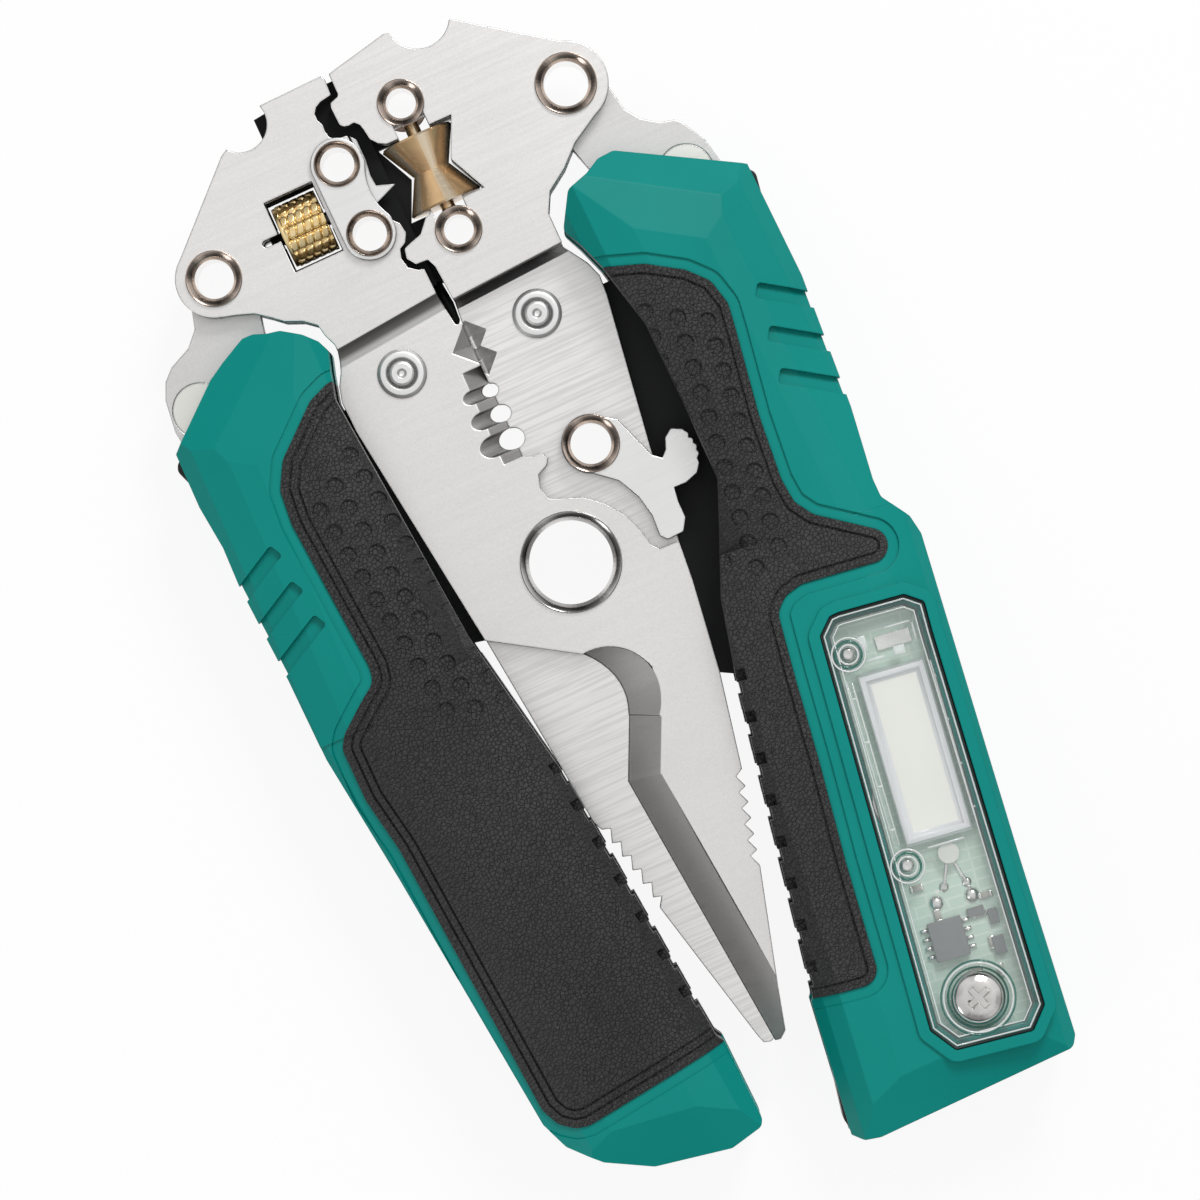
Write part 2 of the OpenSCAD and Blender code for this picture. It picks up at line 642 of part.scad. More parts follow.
// Rubber areas on the faces of the handles
module left_grip_plan() {
  polygon(concat([[-20.4, 36.8], [-23.6, 35.5], [-30.5, 29.6],
    [-32.6, 25.9], [-33.1, 20.9], [-31.6, -1.5], [-31.9, -3.7],
    [-34.3, -5.3], [-38.6, -8.6], [-39.9, -10.4], [-39.9, -18.3],
    [-38.5, -26.5], [-35.6, -67.9], [-34.4, -70.5], [-32.4, -72.0],
    [-30.5, -72.4], [-6.5, -69.5], [-6, -60], [-10, -27], [-14, 0],
    [-16, 36.8]]));
}
module right_grip_plan() {
  polygon([[18, 36.6], [26.6, 33.4], [31.5, 30.2], [34.0, 27.4],
    [34.9, 23.6], [34.4, 20.1], [32.3, 7.6], [31.4, -1.7], [31.7, -5.4],
    [33.4, -8.1], [41.9, -14.7], [42.7, -16.7], [41.9, -17.9],
    [40.1, -18.0], [27.8, -16.2], [25.1, -16.8], [23.2, -18.5],
    [21.7, -27.2], [19.8, -39.6], [17.3, -53.9], [15.0, -69.5],
    [14.2, -70.6], [12.6, -70.8], [2.4, -69.2], [2, -60], [10, -24],
    [18, 0]]);
}

// Crowned upper half of a handle: facets across, slopes at both ends.
// w is the width at the wide upper part, measured from x_out inwards.
function crown_profile(w) = [[-1, chan - 5], [-1, chan + 2.6],
  [1.2, chan + 4.8], [5.5, crown_z - 0.7], [9, crown_z],
  [w - 8, crown_z], [w - 3, crown_z - 0.9], [w - 0.6, chan + 4.6],
  [w + 1, chan + 2.2], [w + 1, chan - 5]];
module crown_run(origin, tilt, w, side, y0, y1) {
  translate(origin) rotate([0, 0, tilt]) rotate([90, 0, 0])
    translate([0, 0, -y1]) linear_extrude(y1 - y0) scale([side, 1])
      polygon(crown_profile(w));
}
// Slopes at the two ends: foot at y0, flat from y1 to y2, crease y3, head y4
module slope_run(tilt, y0, y1, y2, y3, y4) {
  rotate([0, 0, tilt]) rotate([90, 0, 90]) translate([0, 0, -80])
    linear_extrude(160) polygon([[y0, chan - 6], [y0, chan + 3.8],
      [y1, crown_z + 1], [y2, crown_z + 0.2], [y3, crown_z - 1.2],
      [y4, chan + 2.8], [y4, chan - 6]]);
}
module left_crown() {
  intersection() {
    union() {
      crown_run([-43.6, -9], -0.8, 25.6, 1, 0, 62);
      crown_run([-43.0, -9], 5.2, 29.0, 1, -90, 0.4);
    }
    slope_run(-8, -87, -75, 80, 90, 99);
    slope_run(38.9, -129, -119, 44.0, 51.5, 58.5);
  }
}
module right_crown() {
  intersection() {
    union() {
      crown_run([46.0, -12], 1.4, 25.5, -1, 0, 66);
      crown_run([46.6, -12], -7.8, 32.5, -1, -86, 0.4);
    }
    slope_run(0, -92.5, -82, 80, 90, 99);
    slope_run(-32.7, -129, -119, 46.1, 53.5, 59.5);
  }
}
module half_handle(side) {
  intersection() {
    translate([0, 0, chan]) linear_extrude(shell_h + 1) difference() {
      if (side < 0) left_plan(); else right_plan();
      // Small steps of the outline beside the edge notches
      notch_spots(side) translate([0.9, side < 0 ? -0.45 : -1.5])
        square([1.9, 1.95]);
    }
    if (side < 0) left_crown(); else right_crown();
  }
}
module grip_plan(side) {
  rounded(grip_corner_r) if (side < 0) left_grip_plan(); else
    right_grip_plan();
}
// Room of the rubber: the face, and the full height of the inner edge
module grip_room(side) {
  translate([0, 0, crown_z - grip_depth - 2]) linear_extrude(20)
    grip_plan(side);
  translate([0, 0, chan - 1]) linear_extrude(10) difference() {
    grip_plan(side);
    offset(delta = -grip_wrap) if (side < 0) left_plan(); else right_plan();
  }
}
module grip_body(side) {
  intersection() {
    half_handle(side);
    grip_room(side);
  }
}
// Shallow marks of the mould: a border groove and rows of round dimples
left_rows = [[-28.7, 21.0, 10], [-25.4, 23.3, 11], [-21.7, 26.3, 12]];
right_rows = [[23.9, 27.3, 11], [27.7, 24.7, 11], [31.3, 22.5, 10]];
module grip_marks(side) {
  difference() {
    translate([0, 0, chan + 1]) linear_extrude(20) {
      for (g = side < 0 ? [1.1, 2.3] : [1.1]) difference() {
        offset(delta = -g) grip_plan(side);
        offset(delta = -g - 0.35) grip_plan(side);
      }
      for (row = side < 0 ? left_rows : right_rows)
        for (i = [0 : row[2] - 1]) translate([row[0], row[1]]
            + i * dimple_pitch * dir(side < 0 ? -82.5 : -97.3))
          circle(r = dimple_r);
    }
    translate([0, 0, -groove_h]) half_handle(side);
  }
}
// Square notches along the inner edge of a grip
module notch_spots(side) {
  p = side < 0 ? [-13.1, -27.6] : [14.3, -24.0];
  q = side < 0 ? [-9.2, -68.6] : [5.3, -69.7];
  d = q - p;
  for (i = [0 : floor((norm(d) - 2) / edge_pitch)])
    translate(p + d / norm(d) * ((side < 0 ? -2.4 : 0.1) + i * edge_pitch))
      rotate([0, 0, atan2(d[1], d[0])]) children();
}
module edge_notches(side) {
  notch_spots(side) translate([-0.85, -1.4, crown_z - grip_depth - 1.2])
    cube([1.7, 2.8, 12]);
}
module grip(side) {
  difference() {
    grip_body(side);
    edge_notches(side);
    grip_marks(side);
  }
}
module shell_body(side) {
  difference() {
    half_handle(side);
    grip_room(side);
    shell_marks(side);
  }
}
// Step round the rubber, and three finger slots open at the outer edge
module shell_marks(side) {
  slots = side < 0 ? [[-36.6, 18.6], [-35.9, 12.9], [-35.0, 7.3]]
    : [[39.3, 23.6], [38.3, 17.4], [37.2, 11.4]];
  difference() {
    translate([0, 0, chan + 1]) linear_extrude(20)
      offset(delta = lip_w) grip_plan(side);
    translate([0, 0, -lip_h]) half_handle(side);
  }
  difference() {
    for (p = slots) translate([p[0], p[1], chan - 1]) linear_extrude(20)
      rotate(side < 0 ? 207 : -33) hull() {
        for (y = [-0.6, 0.6]) translate([0.5, y]) circle(r = 0.5);
        translate([12, -1.1]) square([1, 2.2]);
      }
    translate([-side * 0.35, 0, -slot_h]) half_handle(side);
  }
}

left_screw_pos = [[-36.5, 8], [-33.2, -30], [-24, -76.8]];
right_screw_pos = [[37.5, 12], [31.0, -78.5]];
module screw_holes(side) {
  for (p = side < 0 ? left_screw_pos : right_screw_pos) translate([p[0],
      p[1], -crown_z - 1]) {
    cylinder(d = handle_screw_d, h = crown_z + chan);
    cylinder(d = 2 * handle_screw_d, h = 3.5);
  }
}
module handle_screws(side) {
  color(bright) for (p = side < 0 ? left_screw_pos : right_screw_pos)
    translate([p[0], p[1], -crown_z + 0.8]) difference() {
      union() {
        cylinder(d = handle_screw_d - 0.1, h = crown_z + chan - 1.8);
        cylinder(d = 2 * handle_screw_d - 0.2, h = 1.7);
      }
      for (a = [0, 90]) rotate([0, 0, a]) translate([-1.5, -0.35, -1])
        cube([3, 0.7, 1.9]);
    }
}

// Tester window in the right handle
module window_plan(grow) {
  offset(delta = grow) rounded(0.8) polygon([[27.1, -23.9], [29.5, -21.9],
    [30.8, -21.9], [40.2, -23.4], [42.4, -25.5], [41.7, -29.7],
    [34.2, -83.5], [31.2, -86.2], [20.3, -84.2], [18.1, -80.2]]);
}
tester_tilt = -8.5;
cover_top = crown_z - 0.3;
pocket_floor = cover_top - cover_t - pocket_h;
module left_front_shell() { color(green) shell_body(-1); }
module left_front_grip() { color(rubber) grip(-1); }
module right_front_shell() {
  color(green) difference() {
    union() {
      shell_body(1);
      // Raised rim round the window
      intersection() {
        translate([0, 0, chan]) linear_extrude(crown_z + 0.4 - chan)
          intersection() {
            window_plan(1.6);
            offset(delta = -0.4) right_plan();
          }
        translate([0, -55, 0]) cube([200, 200, 100], true);
      }
    }
    translate([0, 0, pocket_floor]) linear_extrude(20) window_plan(-1.2);
    translate([0, 0, cover_top - cover_t]) linear_extrude(20) window_plan(0);
    translate([30.0, -50, -1]) cylinder(d = cell_d + 0.4, h = 20);
    translate([26.2, -78.8, chan + 0.6]) cylinder(r = 1.2, h = 8);
  }
}
module right_front_grip() { color(rubber) grip(1); }
module back_shell(side) {
  difference() {
    mirror([0, 0, 1]) shell_body(side);
    translate([0, 0, -chan - liner_t]) linear_extrude(liner_t + 1)
      liner_plan(side);
    screw_holes(side);
  }
}
module left_back_shell() { color(green) back_shell(-1); }
module right_back_shell() { color(green) back_shell(1); }
module back_grip(side) {
  color(rubber) difference() {
    mirror([0, 0, 1]) grip(side);
    translate([0, 0, -chan - liner_t]) linear_extrude(liner_t + 1)
      liner_plan(side);
    screw_holes(side);
  }
}
module left_back_grip() { back_grip(-1); }
module right_back_grip() { back_grip(1); }

// Black liners: seat of the back shells and webs that reach behind the jaws
module liner_plan(side) {
  offset(delta = -liner_wall) {
    if (side < 0) left_plan(); else right_plan();
    offset(delta = liner_wall) if (side < 0)
      polygon([[-26, 33], [-17.2, 33], [-16.4, 27], [-13.4, -6.0],
        [-15.9, -4.9], [-24, -3.2]]);
    else
      polygon([[26, 34], [18.6, 34], [17.6, 26], [12.2, -4], [10.6, -21.8],
        [17, -25.4], [24, -10]]);
  }
}
module liner(side) {
  color(black) difference() {
    translate([0, 0, -chan - liner_t]) linear_extrude(liner_t)
      liner_plan(side);
    screw_holes(side);
  }
}

// Steel tangs in the mid plane, from the head pivots down the handles
module tang_arm(side) {
  if (side < 0)
    polygon([[-33.6, 55.0], [-34.5, 51.9], [-36.4, 49.9], [-39.7, 48.4],
      [-41.3, 46.9], [-42.4, 44.5], [-43.0, 39.9], [-42.6, 36],
      [-41.4, 22], [-40.8, -6], [-38.6, -24], [-34.2, -24], [-35.0, -6],
      [-34.0, 24], [-31.0, 36], [-26.2, 45], [-24.2, 54.4]]);
  else
    polygon([[32.6, 59.6], [33.5, 54.8], [34.9, 52.8], [36.0, 51.9],
      [37.2, 51.1], [39.4, 50.5], [40.0, 49.9], [42.0, 46.2],
      [43.0, 41.2], [43.6, 30], [42.6, 4], [41.8, -14], [41.2, -24],
      [35.6, -24], [36.2, -12], [38.0, 4], [37.2, 28], [33.0, 38],
      [26.4, 46], [22.4, 59.6]]);
}
left_tang_rivet_pos = [[-38.5, 41.2], [-37.6, -16]];
right_tang_rivet_pos = [[37.7, 43.2], [38.8, -19]];
module flat_rivets(points) {
  color(bright) for (i = [0, 1]) translate([points[i][0], points[i][1],
      -tang_t / 2]) cylinder(r = i == 0 ? 3.9 : 1.8, h = tang_t);
}
module left_tang_rivets() { flat_rivets(left_tang_rivet_pos); }
module right_tang_rivets() { flat_rivets(right_tang_rivet_pos); }
module tang(side) {
  pivot = side < 0 ? left_pivot : right_pivot;
  barrel_r = side < 0 ? left_barrel_r : right_barrel_r;
  points = side < 0 ? left_tang_rivet_pos : right_tang_rivet_pos;
  translate([0, 0, -tang_t / 2]) difference() {
    union() {
      linear_extrude(tang_t) tang_arm(side);
      translate(pivot) cylinder(r = barrel_r + 2.2, h = tang_t);
    }
    translate([0, 0, -1]) {
      translate(pivot) cylinder(r = barrel_r + run_clear, h = 9);
      translate(points[0]) cylinder(r = 3.9, h = 9);
      translate(points[1]) cylinder(r = 1.8, h = 9);
    }
    for (q = side < 0 ? left_screw_pos : right_screw_pos)
      translate([q[0], q[1], -1]) cylinder(d = handle_screw_d, h = 9);
  }
}
module left_tang() { color(steel) tang(-1); }
module right_tang() { color(steel) tang(1); }

// Cores: spacer frames between the shells, open to the jaws
module left_core_plan() {
  rounded(corner_r) polygon([[-28.7, 47.0], [-27.0, 40], [-30.5, 33], [-32.0, 20],
    [-31.0, -6], [-28.0, -30], [-24.2, -66], [-22.0, -76], [-8.7, -76],
    [-8.4, -81.6], [-9.0, -82.4], [-13.7, -83.3], [-24.4, -81.2],
    [-30.4, -77.6], [-34.2, -73.6], [-35.9, -69.6], [-39.8, -30.3],
    [-42.1, -10.9], [-42.3, 1.5], [-43.1, 16.1], [-42.9, 22.1],
    [-43.9, 31.8], [-44.9, 34.6], [-44.5, 35.5], [-34.9, 43.6],
    [-32.4, 45.1]]);
}
module right_core_plan() {
  rounded(corner_r) polygon([[29.4, 49.2], [29.0, 42], [31.0, 34], [32.4, 22], [31.4, 2],
    [29.5, -8], [27.0, -24], [24.0, -50], [22.5, -77], [4.2, -77],
    [2.1, -87.2], [2.4, -88.8], [3.8, -90.0], [5.9, -90.5],
    [35.2, -90.3], [36.0, -89.3], [39.2, -64.2], [45.6, -16.9],
    [45.2, -14.1], [42.6, -10.0], [42.6, -7.1], [44.1, 3.4],
    [45.4, 20.0], [45.9, 26.1], [45.6, 33.9], [46.4, 38.6], [46.2, 39.4]]);
}
module core(side) {
  color(black) difference() {
    translate([0, 0, -chan]) linear_extrude(channel_h)
      if (side < 0) left_core_plan(); else right_core_plan();
    translate([0, 0, -tang_t / 2]) {
      linear_extrude(tang_t) tang_arm(side);
      translate(side < 0 ? left_tang_rivet_pos[0] : right_tang_rivet_pos[0])
        cylinder(r = 3.9, h = tang_t);
    }
    screw_holes(side);
    if (side > 0) translate([30.0, -50, chan - cell_t])
      cylinder(d = cell_d + 0.4, h = 9);
  }
}
module left_core() { core(-1); }
module right_core() { core(1); }
module left_liner() { liner(-1); }
module right_liner() { liner(1); }
module left_screws() { handle_screws(-1); }
module right_screws() { handle_screws(1); }

// Tester parts
board_top = pocket_floor + pcb_t;
module tester_cover() {
  color([0.85, 0.93, 0.9, 0.35]) {
    difference() {
      translate([0, 0, cover_top - cover_t]) linear_extrude(cover_t)
        window_plan(0);
      translate([26.2, -78.8, cover_top - 0.7])
        cylinder(d = cover_screw_head_d + 1.6, h = 5);
      translate([26.2, -78.8, 0]) cylinder(r = 1.6, h = 20);
    }
    // Hollow posts that hold the board down
    for (p = [[29.7, -27.9], [24.9, -58.1]])
      translate([p[0], p[1], board_top]) difference() {
        cylinder(r = 2.1, h = cover_top - cover_t - board_top + e);
        translate([0, 0, -1]) cylinder(r = 1.1, h = pocket_h - pcb_t + 0.6);
      }
  }
}
module cover_screw() {
  color(bright) translate([26.2, -78.8, cover_top - 0.7]) difference() {
    union() {
      rotate_extrude() polygon([[0, 0], [cover_screw_head_d / 2, 0],
        [cover_screw_head_d / 2, 0.6], [3.2, 1.3], [2.2, 1.75], [0, 1.9]]);
      translate([0, 0, -5.2]) cylinder(r = 1.2, h = 5.3);
    }
    for (a = [0, 90]) rotate([0, 0, a + 20]) translate([-1.7, -0.45, 0.7])
      cube([3.4, 0.9, 2]);
  }
}
module tester_board() {
  color([0.45, 0.62, 0.52]) difference() {
    translate([0, 0, pocket_floor]) linear_extrude(pcb_t) window_plan(-1.5);
    translate([26.2, -78.8, 0]) cylinder(r = 1.4, h = 20);
  }
}
module display_panel() {
  color([0.85, 0.84, 0.79]) translate([32.5, -44.2, board_top])
    rotate([0, 0, tester_tilt]) translate([0, 0, display_t / 2])
      cube([7.7, 22.7, display_t], true);
}
module display_frame() {
  color([0.85, 0.93, 0.9, 0.35]) translate([32.5, -44.2, board_top])
    rotate([0, 0, tester_tilt]) linear_extrude(display_t + 0.6)
      difference() {
        square([9.6, 25], true);
        square([7.7, 22.7], true);
      }
}
// Chip with four legs a side, a transistor, small parts and solder joints
module board_parts() {
  color([0.25, 0.27, 0.27]) translate([0, 0, board_top]) {
    translate([25.95, -69.9]) rotate([0, 0, tester_tilt]) {
      translate([-2.4, -2.8, 0.2]) cube([4.8, 5.6, 1.4]);
      for (i = [0 : 3]) translate([-3.3, -2.15 + i * 1.27, 0])
        cube([6.6, 0.45, 0.5]);
    }
    for (b = [[31.0, -68.0, 2.4, 1.3, 0.8], [33.0, -69.6, 1.3, 2.2, 0.8],
        [32.1, -73.6, 1.6, 2.6, 1.0]])
      translate([b[0], b[1], b[4] / 2]) rotate([0, 0, tester_tilt])
        cube([b[2], b[3], b[4]], true);
    for (p = [[26.5, -64.7], [31.5, -65.7]]) translate(p)
      cylinder(r1 = 1.1, r2 = 0.4, h = 0.7);
  }
}
// Lamp lying on the board, its two legs bent down to their pads
module indicator_lamp() {
  color([0.9, 0.9, 0.85]) translate([30.9, -58.9, board_top]) {
    cylinder(r = 1.5, h = 2.0);
    for (a = [-121, -82]) rotate([0, 0, a]) translate([0.6, -0.2, 0])
      cube([4.0, 0.4, 0.4]);
  }
}
module button_cell() {
  color([0.8, 0.8, 0.8]) translate([30.0, -50, chan - cell_t])
    cylinder(d = cell_d, h = cell_t);
}
module sense_plate() {
  color(brass) translate([36.4, -28.6, board_top])
    rotate([0, 0, tester_tilt]) translate([-2.5, -1, 0]) cube([5, 2, 0.5]);
}

jaw_a();
jaw_a_back_cheek();
jaw_b();
jaw_b_front_cheek();
insert_a();
insert_b();
main_pivot_rivet();
return_spring();
jaw_a_rivet();
jaw_b_rivet();
link_plate();
link_rivets();
slitting_blade();
thumbwheel();
blade_screw();
roller();
roller_axle();
roller_rivets();
lock_lever();
lever_rivet();
lever_spring();
left_pivot_rivet();
right_pivot_rivet();
left_tang();
right_tang();
left_tang_rivets();
right_tang_rivets();
left_core();
right_core();
left_front_shell();
left_back_shell();
right_front_shell();
right_back_shell();
left_front_grip();
left_back_grip();
right_front_grip();
right_back_grip();
left_liner();
right_liner();
left_screws();
right_screws();
tester_cover();
cover_screw();
tester_board();
display_panel();
display_frame();
board_parts();
indicator_lamp();
button_cell();
sense_plate();
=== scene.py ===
import math
import bmesh
import bpy
from mathutils import Matrix, Vector

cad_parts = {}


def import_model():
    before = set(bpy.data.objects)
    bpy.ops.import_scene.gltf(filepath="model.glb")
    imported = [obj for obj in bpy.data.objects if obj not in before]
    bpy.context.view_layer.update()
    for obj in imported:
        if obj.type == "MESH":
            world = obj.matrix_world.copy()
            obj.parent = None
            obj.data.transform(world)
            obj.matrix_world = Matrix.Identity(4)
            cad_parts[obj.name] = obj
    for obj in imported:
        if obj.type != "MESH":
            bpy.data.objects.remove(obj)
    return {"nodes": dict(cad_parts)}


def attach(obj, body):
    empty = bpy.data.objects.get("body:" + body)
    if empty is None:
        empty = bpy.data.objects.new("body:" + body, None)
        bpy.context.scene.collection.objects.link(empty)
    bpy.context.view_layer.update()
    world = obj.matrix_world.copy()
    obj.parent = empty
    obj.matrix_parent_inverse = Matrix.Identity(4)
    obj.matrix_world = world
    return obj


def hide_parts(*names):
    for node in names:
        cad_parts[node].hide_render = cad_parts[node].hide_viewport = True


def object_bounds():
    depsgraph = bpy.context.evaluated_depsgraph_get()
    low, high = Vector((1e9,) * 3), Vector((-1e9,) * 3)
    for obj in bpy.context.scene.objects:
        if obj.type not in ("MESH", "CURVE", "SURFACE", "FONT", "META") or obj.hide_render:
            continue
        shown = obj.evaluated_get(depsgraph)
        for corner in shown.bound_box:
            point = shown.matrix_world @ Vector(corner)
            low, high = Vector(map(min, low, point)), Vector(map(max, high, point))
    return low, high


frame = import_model()
cad_box = [[float(c) for c in corner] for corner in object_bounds()]
MM = 0.001

# Materials


def put(tree, socket, value):
    """Links a socket, or sets a plain value on it."""
    if isinstance(value, bpy.types.NodeSocket):
        tree.links.new(value, socket)
    elif isinstance(value, (tuple, list)) and len(value) == 3 and socket.type == "RGBA":
        socket.default_value = (*value, 1)
    else:
        socket.default_value = value


def add(tree, kind, settings=None, **inputs):
    """Adds a shader node. Inputs are i0, i1 ... or socket names with _ for a space."""
    n = tree.nodes.new(kind)
    for key, value in (settings or {}).items():
        setattr(n, key, value)
    for key, value in inputs.items():
        if key[0] == "i" and key[1:].isdigit():
            put(tree, n.inputs[int(key[1:])], value)
        else:
            put(tree, n.inputs[key.replace("_", " ")], value)
    return n


def calc(tree, op, a, b=0.0, c=0.0):
    return add(tree, "ShaderNodeMath", {"operation": op}, i0=a, i1=b, i2=c).outputs[0]


def blend_rgb(tree, fac, a, b, mode="MIX"):
    n = add(tree, "ShaderNodeMix", {"data_type": "RGBA", "blend_type": mode})
    put(tree, n.inputs[0], fac)
    put(tree, n.inputs[6], a)
    put(tree, n.inputs[7], b)
    return n.outputs[2]


def ramp(tree, value, low, high, out_low=0.0, out_high=1.0):
    return add(tree, "ShaderNodeMapRange", {"clamp": True}, Value=value,
               From_Min=low, From_Max=high, To_Min=out_low, To_Max=out_high).outputs[0]


def place(tree, scale=(1, 1, 1), turn=(0, 0, 0)):
    """Coordinates in the row frame, scaled and turned for directional patterns."""
    co = tree.nodes.new("ShaderNodeTexCoord").outputs["Object"]
    return add(tree, "ShaderNodeMapping", Vector=co, Scale=scale,
               Rotation=[math.radians(t) for t in turn]).outputs[0]


def noise(tree, co, scale, detail=2.0, rough=0.5):
    return add(tree, "ShaderNodeTexNoise", Vector=co, Scale=scale, Detail=detail,
               Roughness=rough).outputs[0]


def bump(tree, height, distance, strength=1.0, normal=None):
    n = add(tree, "ShaderNodeBump", Height=height, Distance=distance, Strength=strength)
    if normal is not None:
        put(tree, n.inputs["Normal"], normal)
    return n.outputs[0]


def start(name, colour, rough, metal=0.0, **extra):
    m = bpy.data.materials.new(name)
    m.use_nodes = True
    m.diffuse_color = (*colour, 1)
    tree = m.node_tree
    shader = tree.nodes["Principled BSDF"]
    put(tree, shader.inputs["Base Color"], colour)
    put(tree, shader.inputs["Roughness"], rough)
    put(tree, shader.inputs["Metallic"], metal)
    for key, value in extra.items():
        put(tree, shader.inputs[key.replace("_", " ")], value)
    return m, tree, shader


def up_facing(tree):
    """How level the true surface is, 1 on a flat face and 0 on a wall."""
    n = tree.nodes.new("ShaderNodeNewGeometry").outputs["True Normal"]
    z = add(tree, "ShaderNodeSeparateXYZ", Vector=n).outputs[2]
    return calc(tree, "ABSOLUTE", z)


def edge_nearness(tree, reach):
    """0 on a flat, rising to about 0.3 where a sharp edge is within reach, in mm."""
    rounded = add(tree, "ShaderNodeBevel", {"samples": 4}, Radius=reach * MM).outputs[0]
    flat = tree.nodes.new("ShaderNodeNewGeometry").outputs["True Normal"]
    same = add(tree, "ShaderNodeVectorMath", {"operation": "DOT_PRODUCT"}, i0=rounded, i1=flat)
    return calc(tree, "SUBTRACT", 1.0, same.outputs["Value"])


# Where the head begins along y, and the heights of the joggle from foot to shoulder, in m; the
# steel's painted shade changes there
HEAD_START = (0.0370, 0.0375)
JOGGLE_FOOT, JOGGLE_MIDDLE, JOGGLE_SHOULDER = 0.00335, 0.00375, 0.00430
BEVEL_PAINTED_SHADE = 0.64                         # painted shade: tone of the ground bevels beside the flats
SHADE_LINE_REACH = 0.50                            # reach of the painted dark line (painted shade) along an edge, in mm


def steel(name, colour, rough, line_turn, line, grain, stripes=0.0, bevel_painted_shade=BEVEL_PAINTED_SHADE,
          outline=SHADE_LINE_REACH):
    """Ground steel: lines along one direction, sand grain, and painted light told apart by
    slope.

    A broken edge gets a painted highlight where it is nearly level and painted shade where it
    falls off, with a painted bright line and a painted dark outline along it. The ground bevels
    below the step line get painted shade darker than the flats, and the joggle gets painted
    shade, darker upwards.
    """
    m, tree, shader = start(name, colour, rough, 1.0)
    lines = noise(tree, place(tree, (60, 2300, 600), (0, 0, line_turn)), 1.0, 3.0, 0.6)
    cloud = noise(tree, place(tree), 45, 2.0)
    sand = noise(tree, place(tree), 4200, 2.0, 0.65)
    tone = ramp(tree, cloud, 0.3, 0.7, 0.975, 1.02)
    tone = calc(tree, "MULTIPLY", tone, ramp(tree, sand, 0.3, 0.7, 1 - grain, 1 + grain))
    tone = calc(tree, "MULTIPLY", tone, ramp(tree, lines, 0.42, 0.55, 1 - stripes, 1 + stripes))
    co = tree.nodes.new("ShaderNodeTexCoord").outputs["Object"]
    where = add(tree, "ShaderNodeSeparateXYZ", Vector=co)
    place_y, height_z = where.outputs[1], where.outputs[2]
    slope = up_facing(tree)
    # Painted shade: the joggle in the head darker upwards, the ground bevels below it darker
    # than the flats.
    step = calc(tree, "MULTIPLY", ramp(tree, height_z, JOGGLE_FOOT, JOGGLE_MIDDLE, 1.2, 0.32),
                ramp(tree, height_z, JOGGLE_MIDDLE, JOGGLE_SHOULDER, 1.0, 0.5))
    in_head = ramp(tree, place_y, *HEAD_START)
    ground = calc(tree, "MULTIPLY_ADD", in_head, calc(tree, "SUBTRACT", step, bevel_painted_shade),
                  bevel_painted_shade)
    dull = calc(tree, "MULTIPLY", calc(tree, "SUBTRACT", 1.0, in_head),
                ramp(tree, slope, 0.90, 0.95, 0.22, 0.0))
    # Painted highlight on the nearly level part of a broken edge.
    edge = ramp(tree, slope, 0.975, 0.99, 1.16, 1.0)
    mid = calc(tree, "ADD", calc(tree, "MULTIPLY", ramp(tree, slope, 0.865, 0.895),
                                 calc(tree, "SUBTRACT", edge, ground)), ground)
    # Painted shade on the steep walls of the plates.
    steep = calc(tree, "MULTIPLY", mid, ramp(tree, slope, 0.40, 0.46, 0.34, 1.0))
    tone = calc(tree, "MULTIPLY", tone, steep)
    # Painted highlight as a bright line just inside each edge, and painted shade as a dark
    # outline at the edge itself.
    near = edge_nearness(tree, outline)
    painted_edge_highlight = calc(tree, "MULTIPLY", ramp(tree, near, 0.02, 0.05),
                      ramp(tree, near, 0.08, 0.11, 1.0, 0.0))
    tone = calc(tree, "MULTIPLY_ADD", painted_edge_highlight, 0.32, tone)
    tone = calc(tree, "MULTIPLY", tone, ramp(tree, near, 0.09, 0.13, 1.0, 0.22))
    grey = add(tree, "ShaderNodeCombineColor", Red=tone, Green=tone, Blue=tone).outputs[0]
    put(tree, shader.inputs["Base Color"],
        blend_rgb(tree, 1.0, (*colour, 1), grey, "MULTIPLY"))
    put(tree, shader.inputs["Roughness"],
        calc(tree, "ADD", ramp(tree, lines, 0.3, 0.7, rough - 0.04, rough + 0.05), dull))
    height = calc(tree, "ADD", calc(tree, "MULTIPLY", lines, line),
                  calc(tree, "MULTIPLY", sand, grain * 6))
    put(tree, shader.inputs["Normal"], bump(tree, height, 0.00003, 0.30))
    return m


def painted_wall_light(tree, low, high):
    """Painted light and shade on the small steps of a moulding: lighter on walls facing the
    light, darker on walls facing away.
    """
    n = add(tree, "ShaderNodeVectorMath", {"operation": "DOT_PRODUCT"},
            i0=tree.nodes.new("ShaderNodeNewGeometry").outputs["True Normal"],
            i1=(0.75, 0.66, 0.0)).outputs["Value"]
    wall = ramp(tree, up_facing(tree), 0.2, 0.5, 1.0, 0.0)
    side = calc(tree, "SUBTRACT", ramp(tree, n, -0.8, 0.8, low, high), 1.0)
    return calc(tree, "MULTIPLY_ADD", wall, side, 1.0)


